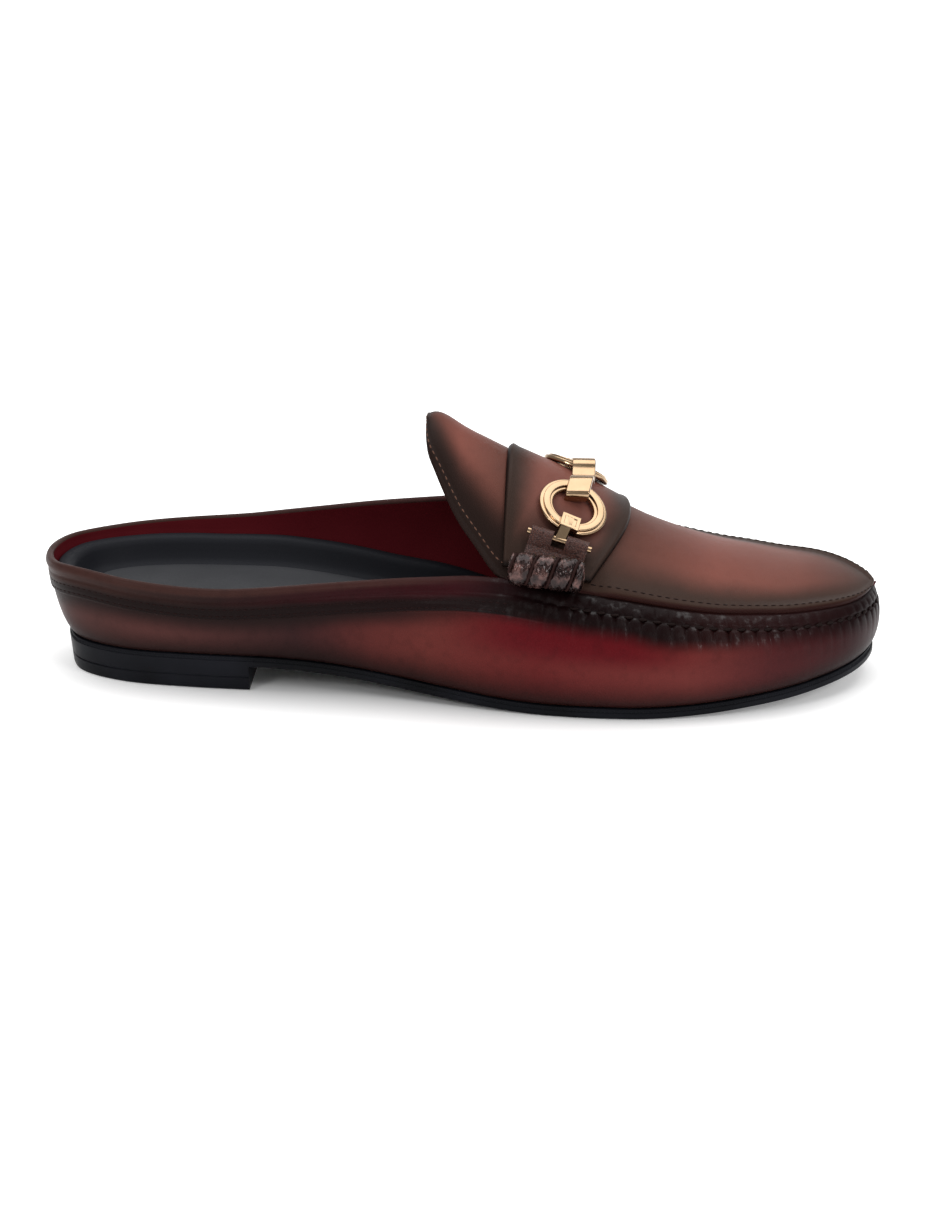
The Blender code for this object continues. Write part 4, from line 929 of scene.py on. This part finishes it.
def seam_stitches():
    """Two rows round the collar, the gathered row under the lip and the fine row on the apron."""
    collar = np.array(back_run)
    made = []
    for name, depth in STITCH_ROWS.items():
        row = rows[ROW_DEPTHS.index(depth)]
        if name == "gather":
            arcs = GATHER_PITCH * (np.arange(1, 60) + 0.5)
            paths = []
            for side in (np.arange(0, FRONT_STEPS - 36), -np.arange(0, FRONT_STEPS - 36)):
                length = from_toe[side]
                at = arcs[arcs < length.max()]
                at = np.sort(np.r_[at - 1.35, at + 1.35])
                spot, up = (np.stack([np.interp(at, length, v[row[side]][:, n]) for n in range(3)], 1)
                            for v in (outside, normals))
                paths.append((spot[::2] / 2 + spot[1::2] / 2 + up[::2] * 0.00035 + MOVE, up[::2]))
            made.append(grow("gather_stitches", paths, ROW_TREE, dark_thread,
                             Length=0.0034, Breadth=0.0011, Height=0.0010, Turn=0.12))
            continue
        run = row[collar]
        path = spaced(outside[run], normals[run], 2.5)
        made.append(grow("collar_stitches_" + name, [(path[0] + MOVE, path[1])], ROW_TREE, red_thread,
                         Length=0.0018, Breadth=0.00055, Height=0.00045, Turn=0.0))
    fine = []
    for end in (6, -7):
        chosen = [line[end] for line in lines[8:FRONT_STEPS - 44]]
        fine.append(spaced(outside[chosen], normals[chosen], 2.9, 1.0))
    made.append(grow("apron_stitches", [(path + MOVE, up) for path, up in fine], ROW_TREE, dark_thread,
                     Length=0.0019, Breadth=0.00050, Height=0.00040, Turn=0.0))
    edge = [line[6] for line in tongue] + list(tongue[-1][7:-7]) + [line[-7] for line in tongue[::-1]]
    path = spaced(outside[edge], normals[edge], 2.6)
    made.append(grow("tongue_stitches", [(path[0] + MOVE, path[1])], ROW_TREE, tan_thread,
                     Length=0.0017, Breadth=0.00050, Height=0.00040, Turn=0.0))
    return made


print("stitches, in faces:", {piece.name: len(piece.data.polygons) for piece in seam_stitches()})

# %% [markdown]
# The strap is a second layer of leather over the apron, with folded edges. It follows the apron's own
# curves, a constant small height above them, so it can't cut into the leather under it.

# %% Strap
def strap_end_share(x):
    left, right = rim_at(x, True), rim_at(x, False)
    slope = 4 * ARCH_RISE * float(arch_rise(x / LENGTH)) / (right[1] - left[1])
    return 1 - STRAP_END / math.hypot(1, slope) * 2 / (right[1] - left[1])


def make_strap():
    end = strap_end_share(0.1803)
    over = np.linspace(-end, end, 121)
    lengthwise = np.r_[0, 0.006, 0.02, 0.04, 0.07, np.linspace(0.11, 0.86, 24), 0.90, 0.93, 0.955, 0.975, 0.99, 1]
    top, under, edge = [], [], []
    for across in over:
        finish = STRAP_FRONT - STRAP_SWEEP * abs(across) ** 2.2
        x = STRAP_BACK + (finish - STRAP_BACK) * lengthwise
        share = np.full(len(x), across)
        from_edge = np.minimum(x - STRAP_BACK, finish - x) * 1000
        ends = (end - abs(across)) * 22
        thin = np.sqrt(np.clip(from_edge / 0.9, 0.0, 1)) * 0.75 + 0.25
        bead = 0.25 * hill(from_edge, 1.1, 0.7) - 0.14 * hill(from_edge, 2.6, 0.4)
        soft = 0.16 * ripple(x * 1.4, across * 0.03, x * 0, 2.0) * smoothstep((from_edge - 3) / 5)
        height = GAP + STRAP_THICK * thin + (bead + soft) / 1000
        top.append(above_apron(x, share, height))
        under.append(above_apron(x, share, np.full(len(x), GAP)))
        edge.append(np.minimum(from_edge, ends))
    wide, long = len(over), len(lengthwise)
    index = np.arange(wide * long).reshape(wide, long)
    faces = []
    for one, two in zip(index, index[1:]):
        faces += grid_faces(one, two)
    faces += [[i + wide * long for i in face][::-1] for face in faces]
    border = np.r_[index[0], index[1:, -1], index[-1, -2::-1], index[-2:0:-1, 0]]
    faces += grid_faces(border, border + wide * long, closed=True)
    points = np.vstack([np.concatenate(top), np.concatenate(under)])
    values = np.concatenate([np.concatenate(edge)] * 2)
    return make_piece("strap_leather_band", points + MOVE, faces, [strap_leather], values={"edge": values},
                      replaces=["saddle_strap"])


strap = make_strap()
print("strap faces:", len(strap.data.polygons))


# %% [markdown]
# The small pieces take their places from the solids: the middle of a solid's points and its main directions say where
# a ring lies or how a roll runs. Rings are turned profiles, made by a tree of nodes. The loops and the stems are
# copies of their solids with their points merged and their edges rounded, so that light catches on them; the link is
# swept anew.

# %% Places of the small pieces
def node_points(name):
    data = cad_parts[name].data
    spots = np.zeros(len(data.vertices) * 3)
    data.vertices.foreach_get("co", spots)
    return np.unique(spots.reshape(-1, 3).round(6), axis=0)


def directions(name):
    """Middle of a node and its long, middle and short directions."""
    spots = node_points(name)
    middle = (spots.max(0) + spots.min(0)) / 2
    _, _, axes = np.linalg.svd(spots - spots.mean(0), full_matrices=False)
    return spots.mean(0), axes


def rounded_copy(node, name, look, radius, smooth=50, levels=0):
    work = bmesh.new()
    work.from_mesh(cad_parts[node].data)
    bmesh.ops.remove_doubles(work, verts=work.verts, dist=1e-6)
    bmesh.ops.dissolve_limit(work, angle_limit=math.radians(1.5), verts=work.verts, edges=work.edges)
    data = bpy.data.meshes.new(name)
    work.to_mesh(data)
    work.free()
    data.materials.append(look)
    piece = bpy.data.objects.new(name, data)
    scene.collection.objects.link(piece)
    bevel = piece.modifiers.new("rounded_edges", "BEVEL")
    bevel.width = radius
    bevel.segments = 3
    bevel.limit_method = "ANGLE"
    bevel.angle_limit = math.radians(30)
    data.shade_smooth()
    data.set_sharp_from_angle(angle=math.radians(smooth))
    finish_piece(piece, [node])
    return piece


# %% A turned ring
def ring_tree():
    tree = bpy.data.node_groups.new("turned_ring", "GeometryNodeTree")
    face = tree.interface
    face.new_socket("Geometry", in_out="INPUT", socket_type="NodeSocketGeometry")
    for name in ("Radius", "Hole", "Thickness", "Rounding"):
        face.new_socket(name, in_out="INPUT", socket_type="NodeSocketFloat")
    face.new_socket("Material", in_out="INPUT", socket_type="NodeSocketMaterial")
    face.new_socket("Geometry", in_out="OUTPUT", socket_type="NodeSocketGeometry")
    nodes, links = tree.nodes, tree.links
    given, result = nodes.new("NodeGroupInput"), nodes.new("NodeGroupOutput")

    def number(operation, one, two):
        made = nodes.new("ShaderNodeMath")
        made.operation = operation
        for socket, value in zip(made.inputs, (one, two)):
            if isinstance(value, bpy.types.NodeSocket):
                links.new(value, socket)
            else:
                socket.default_value = value
        return made.outputs[0]

    def turned(breadth, thickness, rounding, lift):
        circle = nodes.new("GeometryNodeCurvePrimitiveCircle")
        circle.inputs["Resolution"].default_value = 96
        links.new(middle, circle.inputs["Radius"])
        profile = nodes.new("GeometryNodeCurvePrimitiveQuadrilateral")
        links.new(breadth, profile.inputs["Width"])
        links.new(thickness, profile.inputs["Height"])
        soft = nodes.new("GeometryNodeFilletCurve")
        if hasattr(soft, "mode"):
            soft.mode = "POLY"
        else:
            soft.inputs["Mode"].default_value = "Poly"
        soft.inputs["Count"].default_value = 4
        links.new(profile.outputs[0], soft.inputs["Curve"])
        links.new(rounding, soft.inputs["Radius"])
        body = nodes.new("GeometryNodeCurveToMesh")
        links.new(circle.outputs[0], body.inputs["Curve"])
        links.new(soft.outputs[0], body.inputs["Profile Curve"])
        raised = nodes.new("GeometryNodeTransform")
        offset = nodes.new("ShaderNodeCombineXYZ")
        links.new(lift, offset.inputs["Z"])
        links.new(body.outputs[0], raised.inputs["Geometry"])
        links.new(offset.outputs[0], raised.inputs["Translation"])
        return raised.outputs[0]

    middle = number("MULTIPLY", number("ADD", given.outputs["Radius"], given.outputs["Hole"]), 0.5)
    breadth = number("SUBTRACT", given.outputs["Radius"], given.outputs["Hole"])
    low = number("MULTIPLY", given.outputs["Thickness"], 0.66)
    step_breadth = number("MULTIPLY", breadth, 0.52)
    join = nodes.new("GeometryNodeJoinGeometry")
    base = turned(breadth, low, given.outputs["Rounding"], number("MULTIPLY", low, 0.5))
    ridge = turned(step_breadth, low, number("MULTIPLY", given.outputs["Rounding"], 0.8),
                   number("SUBTRACT", given.outputs["Thickness"], number("MULTIPLY", low, 0.5)))
    for part in (base, ridge):
        links.new(part, join.inputs[0])
    real = nodes.new("GeometryNodeRealizeInstances")
    links.new(join.outputs[0], real.inputs[0])
    painted = nodes.new("GeometryNodeSetMaterial")
    links.new(real.outputs[0], painted.inputs["Geometry"])
    links.new(given.outputs["Material"], painted.inputs["Material"])
    links.new(painted.outputs[0], result.inputs[0])
    return tree


RING_TREE = ring_tree()
RING_RADIUS, RING_HOLE, RING_THICK = 0.0123, 0.0075, 0.0024


def ring_place(side):
    """Foot of a ring's middle on the strap, and its directions: along the shoe, up to the crown, out."""
    middle, axes = directions("ring_" + side)
    out = axes[2] * np.sign(axes[2][2])
    spots = node_points("ring_" + side)
    base = middle + out * ((spots - middle) @ out).min()
    other = directions("ring_" + ("medial" if side == "lateral" else "lateral"))[0]
    up = unit((other - middle) - out * np.dot(other - middle, out))
    return base, np.stack([np.cross(up, out), up, out])


def set_points(piece, spots):
    """Gives a piece new points, with its faces turned out again."""
    piece.data.vertices.foreach_set("co", np.ravel(spots))
    work = bmesh.new()
    work.from_mesh(piece.data)
    bmesh.ops.recalc_face_normals(work, faces=work.faces)
    work.to_mesh(piece.data)
    work.free()
    piece.data.update()
    piece.data.set_sharp_from_angle(angle=math.radians(40))


def make_rings():
    for side in ("lateral", "medial"):
        base, axes = ring_place(side)
        piece = grow("ring_%s_turned" % side, [([(0, 0, 0), (1e-3, 0, 0)], [(0, 0, 1)] * 2)], RING_TREE, gold,
                     rides=False, Radius=RING_RADIUS, Hole=RING_HOLE, Thickness=RING_THICK, Rounding=0.00045)
        set_points(piece, base + np.array([v.co for v in piece.data.vertices]) @ axes)
        finish_piece(piece, ["ring_" + side])
        print(piece.name, "faces:", len(piece.data.polygons))


make_rings()


# %% [markdown]
# The link is a flat bar with rounded edges that bends over the crown and turns down into both rings. Its
# cross section is swept along a path whose corners are cut three times, which leaves an even curve.

# %% Link and clasps
LINK_WIDTH, LINK_THICK = 0.0082, 0.0015


def cut_corners(path, times):
    for _ in range(times):
        near, far = path[:-1] * 0.75 + path[1:] * 0.25, path[:-1] * 0.25 + path[1:] * 0.75
        path = np.vstack([path[:1], np.stack([near, far], 1).reshape(-1, path.shape[1]), path[-1:]])
    return path


def make_link():
    spots = node_points("link")
    crown_low = spots[np.abs(spots[:, 1] - (spots[:, 1].min() + spots[:, 1].max()) / 2) < 0.006][:, 2].min()
    ends = []
    for side in ("lateral", "medial"):
        base, axes = ring_place(side)
        lap = RING_THICK + 3 * GAP
        hole = math.sqrt(RING_HOLE**2 - (LINK_WIDTH / 2) ** 2) - 0.0014
        ends.append([base + axes[1] * up + axes[2] * out for up, out in (
            (hole, 0.0007), (hole, 0.0016), (hole, lap), (hole + 0.0012, lap), (RING_RADIUS + 0.0004, lap))])
    low, high = ends[0][-1], ends[1][-1]
    centre = (low + high) / 2
    lift = crown_low - centre[2]
    arch = []
    for t in (-0.75, -0.5, -0.25, 0, 0.25, 0.5, 0.75):
        spot = centre + (high - low) / 2 * t
        spot[2] += lift * (1 - abs(t) ** 2.6)
        arch.append(spot)
    path = cut_corners(np.array([*ends[0], *arch, *ends[1][::-1]]), 3)
    right = unit(np.cross(high - low, [0, 0, 1.0]) * np.array([1, 1, 1]))
    along = unit(np.gradient(path, axis=0))
    out = unit(np.cross(right, along))
    out *= np.sign(out[len(out) // 2][2])
    half, thick, soft = LINK_WIDTH / 2, LINK_THICK, 0.0004
    section = []
    for cx, cy, start in ((half - soft, soft, 270), (half - soft, thick - soft, 0),
                          (soft - half, thick - soft, 90), (soft - half, soft, 180)):
        for step in range(4):
            turn = math.radians(start + step * 30)
            section.append((cx + soft * math.cos(turn), cy + soft * math.sin(turn)))
    rows = [p + np.array([right * a + o * b for a, b in section]) for p, o in zip(path, out)]
    size = len(section)
    faces = []
    for n in range(len(rows) - 1):
        faces += grid_faces(np.arange(size) + n * size, np.arange(size) + (n + 1) * size, closed=True)
    faces += [list(range(size))[::-1], list(range((len(rows) - 1) * size, len(rows) * size))]
    return make_piece("link_band", np.vstack(rows), faces, [gold], replaces=["link"], smooth=55)


def make_clasp(side):
    """A small plate with a sunk panel, which holds the stem on the ring."""
    base, axes = ring_place(side)
    breadth, low, high, floor, top = 0.0034, -RING_RADIUS - 0.0006, -RING_HOLE + 0.0007, 0.0009, 0.0044
    corners = [(x, y) for x, y in ((-breadth, low), (breadth, low), (breadth, high), (-breadth, high))]
    inner = [(x * 0.62, (y - (low + high) / 2) * 0.55 + (low + high) / 2) for x, y in corners]
    local = [(x, y, floor) for x, y in corners] + [(x, y, top) for x, y in corners]
    local += [(x, y, top) for x, y in inner] + [(x, y, top - 0.0004) for x, y in inner]
    faces = [[3, 2, 1, 0]]
    for first in (0, 4, 8):
        faces += grid_faces(np.arange(4) + first, np.arange(4) + first + 4, closed=True)
    faces.append([12, 13, 14, 15])
    points = base + np.array(local) @ axes
    piece = make_piece("clasp_" + side, points, faces, [gold], smooth=40)
    bevel = piece.modifiers.new("rounded_edges", "BEVEL")
    bevel.width, bevel.segments, bevel.limit_method = 0.0003, 3, "ANGLE"
    return piece


print("link faces:", len(make_link().data.polygons), "clasps:", make_clasp("lateral").name, make_clasp("medial").name)
for node in ("stem_lateral", "stem_medial"):
    rounded_copy(node, node + "_rounded", gold, 0.00028)
for node in ("loop_lateral", "loop_medial"):
    rounded_copy(node, node + "_leather", loop_leather, 0.00035)


# %% [markdown]
# The strap's ends are rolled up and bound with a thin leather cord. Each roll bulges between the cord's
# turns, and the cord itself is a tube along a spiral.

# %% Rolls
ROLL_RADIUS, ROLL_LENGTH, ROLL_WRAPS, ROLL_BOUND = 0.0057, 0.0262, 3, 0.82


def cord_tree():
    tree = bpy.data.node_groups.new("cord_along_path", "GeometryNodeTree")
    face = tree.interface
    face.new_socket("Geometry", in_out="INPUT", socket_type="NodeSocketGeometry")
    face.new_socket("Radius", in_out="INPUT", socket_type="NodeSocketFloat")
    face.new_socket("Material", in_out="INPUT", socket_type="NodeSocketMaterial")
    face.new_socket("Geometry", in_out="OUTPUT", socket_type="NodeSocketGeometry")
    nodes, links = tree.nodes, tree.links
    given, result = nodes.new("NodeGroupInput"), nodes.new("NodeGroupOutput")
    path, circle = nodes.new("GeometryNodeMeshToCurve"), nodes.new("GeometryNodeCurvePrimitiveCircle")
    tube, real = nodes.new("GeometryNodeCurveToMesh"), nodes.new("GeometryNodeRealizeInstances")
    painted = nodes.new("GeometryNodeSetMaterial")
    circle.inputs["Resolution"].default_value = 10
    tube.inputs["Fill Caps"].default_value = True
    links.new(given.outputs["Geometry"], path.inputs["Mesh"])
    links.new(given.outputs["Radius"], circle.inputs["Radius"])
    links.new(path.outputs[0], tube.inputs["Curve"])
    links.new(circle.outputs[0], tube.inputs["Profile Curve"])
    links.new(tube.outputs[0], real.inputs[0])
    links.new(real.outputs[0], painted.inputs["Geometry"])
    links.new(given.outputs["Material"], painted.inputs["Material"])
    links.new(painted.outputs[0], result.inputs[0])
    return tree


CORD_TREE = cord_tree()


def make_roll(side):
    node = "roll_" + side
    middle, axes = directions(node)
    axis = axes[0] * np.sign(axes[0][0])
    out = unit(np.cross(axis, [0, 1.0, 0]))
    beside = np.cross(axis, out) * (1 if side == "lateral" else -1)
    turn = np.linspace(0, TAU, 48, endpoint=False)
    spots = np.r_[-1, -0.995, -0.975, -0.94, np.linspace(-0.9, 0.9, 85), 0.94, 0.975, 0.995, 1]
    points, rows = [], []

    def around(spot, angle, extra=0.0):
        """Surface of the roll: it swells between the turns of the cord's spiral."""
        turns = ROLL_WRAPS * (spot + ROLL_BOUND) / (2 * ROLL_BOUND) + angle / TAU
        bound = smoothstep((0.97 - abs(spot)) / 0.1)
        waist = 0.17 * bound * np.clip(np.cos(TAU * turns), 0, 1) ** 3.0
        ease = np.clip(1 - np.abs(spot) ** 16, 0, 1) ** 0.5
        crumple = 0.022 * np.sin(5 * angle + 31 * spot) + 0.016 * np.sin(9 * angle - 57 * spot + 1.0)
        radius = ROLL_RADIUS * (0.30 + 0.70 * ease) * (1.03 - waist + crumple) + extra
        spoke = np.cos(angle)[:, None] * out + np.sin(angle)[:, None] * beside
        return middle + axis * spot * ROLL_LENGTH / 2 + spoke * radius[:, None]

    count = 0
    for spot in spots:
        row = around(spot, turn)
        points.append(row)
        rows.append(np.arange(count, count + len(row)))
        count += len(row)
    for spot, depth in ((-1, 1), (1, -1)):
        end_row = points[0] if spot < 0 else points[-1]
        centre = end_row.mean(0)
        for share, sink in ((0.72, 0.10), (0.60, 0.45), (0.45, 0.05), (0.30, 0.40), (0.15, 0.15)):
            ring_row = centre + (end_row - centre) * share + axis * depth * sink * 0.001
            points.append(ring_row)
            rows.insert(0, np.arange(count, count + len(turn))) if spot < 0 else \
                rows.append(np.arange(count, count + len(turn)))
            count += len(turn)
    faces = []
    for one, two in zip(rows, rows[1:]):
        faces += grid_faces(one, two, closed=True)
    faces += [rows[0][::-1].tolist(), rows[-1].tolist()]
    roll = make_piece(node + "_leather", np.vstack(points), faces, [bronze], replaces=[node],
                      smooth=80)
    angle = np.linspace(-TAU * 0.25, TAU * (ROLL_WRAPS + 0.25), 40 * ROLL_WRAPS)
    spot = ROLL_BOUND - 2 * ROLL_BOUND * angle / TAU / ROLL_WRAPS
    path = np.stack([around(float(s), np.array([a]), 0.00015)[0] for s, a in zip(spot, angle)])
    paths = [(path, np.tile([0, 0, 1.0], (len(path), 1)))]
    grow(node + "_cord", paths, CORD_TREE, cord_leather, slot="bronze_leather", Radius=0.00055)
    return len(roll.data.polygons)


print("roll faces:", make_roll("lateral"), make_roll("medial"))


# %% [markdown]
# The footbed lies inside the tub: a flat bed with a padded wall round the heel, which dies out before
# the ball. It is padded under its leather, so its edges are round and its wall is slightly uneven.

# %% Footbed
BED_HEIGHT, BED_BALL, PAD_RISE, PAD_BREADTH = 0.0155, 0.0075, 0.0085, 0.0065
PAD_START, PAD_END, BED_CLEAR, BED_LIFT = 0.135, 0.190, 0.0010, 0.0035
BED_TUCK, BED_ROUND, BED_RIM, BED_WELT, BED_LINE, BED_SINK = 0.0042, 0.0012, 0.0040, 0.0022, 0.0050, 0.0004


def make_footbed():
    ring = Outline([(FLAT_FRONT, 50), (THROAT, 40), (0, 120)])
    fade = 1 - smoothstep((ring.x - PAD_START) / (PAD_END - PAD_START))
    low = smoothstep((ring.x - HEEL_LENGTH) / (FLAT_FRONT - HEEL_LENGTH))
    base = sole_top(ring.x) + GAP
    bed = sole_top(ring.x) + BED_HEIGHT + (BED_BALL - BED_HEIGHT) * low
    pad = bed + PAD_RISE * fade
    rise = ring.rise()

    def lining(z):
        height = (z - sole_top(ring.x)) / rise
        here = ring.wall(height)
        up = ring.wall(np.clip(height + 0.02, 0, 1)) - ring.wall(height - 0.02)
        along = np.roll(here, -1, axis=0) - np.roll(here, 1, axis=0)
        steep = np.linalg.norm(unit(np.cross(up, along))[:, :2], axis=1)
        inward = (LEATHER + BED_CLEAR) / np.maximum(steep, 0.5)
        return np.column_stack([here[:, :2] - ring.normal * inward[:, None], z])

    def inward(points, distance, z):
        moved = points.copy()
        moved[:, :2] -= ring.normal * np.broadcast_to(distance, fade.shape)[:, None]
        moved[:, 2] = z
        return moved

    foot = lining(base + BED_LIFT)
    crest = lining(pad - BED_ROUND)
    breadth = BED_RIM + (PAD_BREADTH - BED_RIM) * fade
    soft = 0.00022 * ripple(ring.x * 2, ring.y * 2, ring.x * 0, 4.0)
    slope = [(0.90, 0.93), (1.02, 0.72), (1.16, 0.44), (1.30, 0.20), (1.45, 0.05)]
    levels = [inward(foot, BED_TUCK, base), inward(foot, BED_ROUND, base + BED_LIFT / 2)]
    levels += [lining(base + (pad - base) * share) for share in (0.35, 0.5, 0.65, 0.8)] + [crest]
    for angle in (30, 60, 90):
        t = math.radians(angle)
        levels.append(inward(crest, BED_ROUND * (1 - math.cos(t)), pad - BED_ROUND * (1 - math.sin(t)) + soft))
    levels.append(inward(crest, (BED_ROUND + breadth) / 2, pad + 0.0002 * fade + soft))
    levels += [inward(crest, breadth * across, bed + (pad - bed) * up + soft) for across, up in slope]
    levels += [
        inward(crest, breadth + BED_LINE - 0.0010, bed - BED_SINK * 0.2),
        inward(crest, breadth + BED_LINE - 0.0004, bed - BED_SINK),
        inward(crest, breadth + BED_LINE, bed - BED_SINK * 1.4),
        inward(crest, breadth + BED_LINE + 0.0005, bed - BED_SINK),
        inward(crest, breadth + BED_LINE + 0.0012, bed + BED_SINK * 0.4),
    ]
    count = ring.count
    points = [*levels]
    faces = []
    for n in range(len(levels) - 1):
        faces += grid_faces(np.arange(count) + n * count, np.arange(count) + (n + 1) * count, closed=True)
    total = len(levels) * count
    last = (len(levels) - 1) * count
    flat = np.zeros(total)
    flat[(len(levels) - 2) * count :] = 1.0
    for first, level, top in ((0, levels[0], False), (last, levels[-1], True)):
        previous = None
        for k in range(0, ring.half + 1):
            left, right = level[k], level[-k] if k else level[0]
            if k in (0, ring.half):
                line = np.full(12, first + (k if k else 0))
            else:
                shares = np.linspace(0, 1, 12)[1:-1, None]
                inner = left * (1 - shares) + right * shares
                inner[:, 2] += 0.0004 * np.sin(np.pi * shares[:, 0]) * (1 if top else 0)
                points.append(inner)
                line = np.r_[first + k, total + np.arange(10), first + count - k]
                total += 10
                flat = np.r_[flat, np.full(10, 1.0 if top else 0.0)]
            if previous is not None:
                for face in grid_faces(previous, line):
                    face = list(dict.fromkeys(face))
                    if len(face) > 2:
                        faces.append(face if top else face[::-1])
            previous = line
    piece = make_piece("footbed_padded", np.vstack(points) + MOVE, faces, [footbed], values={"bed": flat},
                       replaces=["insole"], smooth=80)
    return piece, ring, levels


bed_piece, bed_ring, bed_levels = make_footbed()
print("footbed faces:", len(bed_piece.data.polygons))


# %% [markdown]
# The sole and its low heel are one dark piece. A fine step runs round the edge, the heel has the line
# of its top piece, and the upper side of the edge carries fine ribs, which are a row of small bars.

# %% Sole
EDGE_ROUND, HEEL_TAPER = 0.0005, 0.0011


def make_sole():
    ring = Outline([(FLAT_FRONT, 90), (FLAT_BACK, 20), (HEEL_LENGTH, 60), (0, 80)])
    breast = 170
    other = ring.count - breast
    order = list(range(ring.count))
    order = order[: breast + 1] + order[breast : other + 1] + order[other:]
    heel = np.zeros(len(order), bool)
    heel[breast + 1 : other + 2] = True
    x = ring.x[order]
    plan, normal, inset = ring.xy[order], ring.normal[order], ring.inset_share[order]
    taper = np.where(heel, HEEL_TAPER, 0.0)
    low = np.where(heel, 0.0, underside(x))
    top = sole_top(x)
    top_edge = top - SOLE_EDGE * 0.45

    def level(extra, z):
        return np.column_stack([plan - normal * (inset + extra)[:, None], z])

    def side(share, extra=0.0):
        return level(taper * (1 - share) + extra, low + EDGE_ROUND + (top_edge - low - EDGE_ROUND) * share)

    none = np.zeros(len(order))
    lift = np.where(heel, 0.00035, 0.0)
    levels = [
        level(taper + EDGE_ROUND, low), level(taper + EDGE_ROUND * 0.3, low + EDGE_ROUND * 0.3),
        side(0.0), side(0.22), side(0.36), side(0.40, lift), side(0.44), side(0.62), side(0.8), side(1.0),
        level(none + 0.0003, top_edge + 0.0003), level(none + 0.0003, top - EDGE_ROUND * 1.2),
        level(none + 0.0003 + EDGE_ROUND * 0.3, top - EDGE_ROUND * 0.3), level(none + 0.0003 + EDGE_ROUND, top),
    ]
    count = len(order)
    faces = []
    for n in range(len(levels) - 1):
        faces += grid_faces(np.arange(count) + n * count, np.arange(count) + (n + 1) * count, closed=True)
    for n, flip in ((0, True), (len(levels) - 1, False)):
        index = np.arange(count) + n * count
        half = count // 2
        left, right = index[: half + 1], np.r_[index[0], index[: half - 1 : -1]]
        for i in range(half):
            face = list(dict.fromkeys([int(v) for v in (left[i], left[i + 1], right[i + 1], right[i])]))
            if len(face) > 2:
                faces.append(face[::-1] if flip else face)
    piece = make_piece("sole_and_heel", np.vstack(levels) + MOVE, faces, [sole_rubber],
                       replaces=["outsole"], smooth=35)
    path = level(none + 0.0003, top - 0.0010)
    ups = np.column_stack([normal, np.zeros(count)])
    spots, outs = spaced(np.vstack([path, path[:1]]), np.vstack([ups, ups[:1]]), 0.95)
    grow("sole_ribs", [(spots + MOVE, outs)], ROW_TREE, sole_rubber, slot="sole",
         Length=0.00050, Breadth=0.0012, Height=0.00045, Turn=0.0)
    return piece


print("sole faces:", len(make_sole().data.polygons))

# %% [markdown]
# The stage is a pale floor that runs up behind the shoe, under wide soft lamps: one above, one at each side. They
# show the burnish and the gloss without hard shadows. The floor also glows, more with distance from the shoe: painted
# light that washes out the shoe's shadow.

# %% Floor and light
def make_stage():
    depth = [(-2.0, 0.0), (2.4, 0.0), (2.8, 0.05), (3.1, 0.2), (3.3, 0.5), (3.4, 1.8)]
    points = [(x, y, z) for x in (-3.0, 3.0) for y, z in depth]
    count = len(depth)
    data = bpy.data.meshes.new("pale_floor")
    data.from_pydata(points, [], [(i, i + count, i + count + 1, i + 1) for i in range(count - 1)])
    finish = Finish("pale_floor")
    speck = finish.noise(6, 2.0)
    color = finish.mix(speck, (0.88, 0.88, 0.88), (0.90, 0.90, 0.90))
    flat = finish.node("VectorMath", {"operation": "MULTIPLY"}, finish.place(), (1.0, 2.0, 1.0))
    spot = finish.node("VectorMath", {"operation": "LENGTH"}, flat, output=1)
    # painted light: the floor glows, more with distance from the shoe, which washes out the shoe's shadow round it
    far = finish.mix(finish.fade(spot, 0.06, 0.20), (0.0, 0.0, 0.0), (1.0, 1.0, 1.0))
    data.materials.append(finish.feed(Base_Color=color, Roughness=0.7, Emission_Color=far, Emission_Strength=0.5))
    floor = bpy.data.objects.new("pale_floor", data)
    floor.location.z = -0.0002
    scene.collection.objects.link(floor)


def lamp(name, place, size, power):
    data = bpy.data.lights.new(name, "AREA")
    data.shape = "RECTANGLE"
    data.size, data.size_y = size
    data.energy = power
    made = bpy.data.objects.new(name, data)
    direction = -np.array(place) + np.array([0, 0, 0.03])
    out = -unit(direction)
    right = unit(np.cross([0.0, 1.0, 0.02], out))
    up = np.cross(out, right)
    made.matrix_world = Matrix([[*row, p] for row, p in zip(np.stack([right, up, out], 1), place)] + [[0, 0, 0, 1]])
    scene.collection.objects.link(made)


make_stage()
lamp("above", (0.0, 0.25, 1.3), (1.9, 1.3), 19)
lamp("left_front", (-0.9, -1.3, 0.9), (0.35, 0.5), 7)
lamp("right_front", (1.1, -1.0, 1.0), (0.35, 0.5), 7)
world = bpy.data.worlds.new("studio")
world.use_nodes = True
world.node_tree.nodes["Background"].inputs["Color"].default_value = (1, 1, 1, 1)
world.node_tree.nodes["Background"].inputs["Strength"].default_value = 0.35
scene.world = world
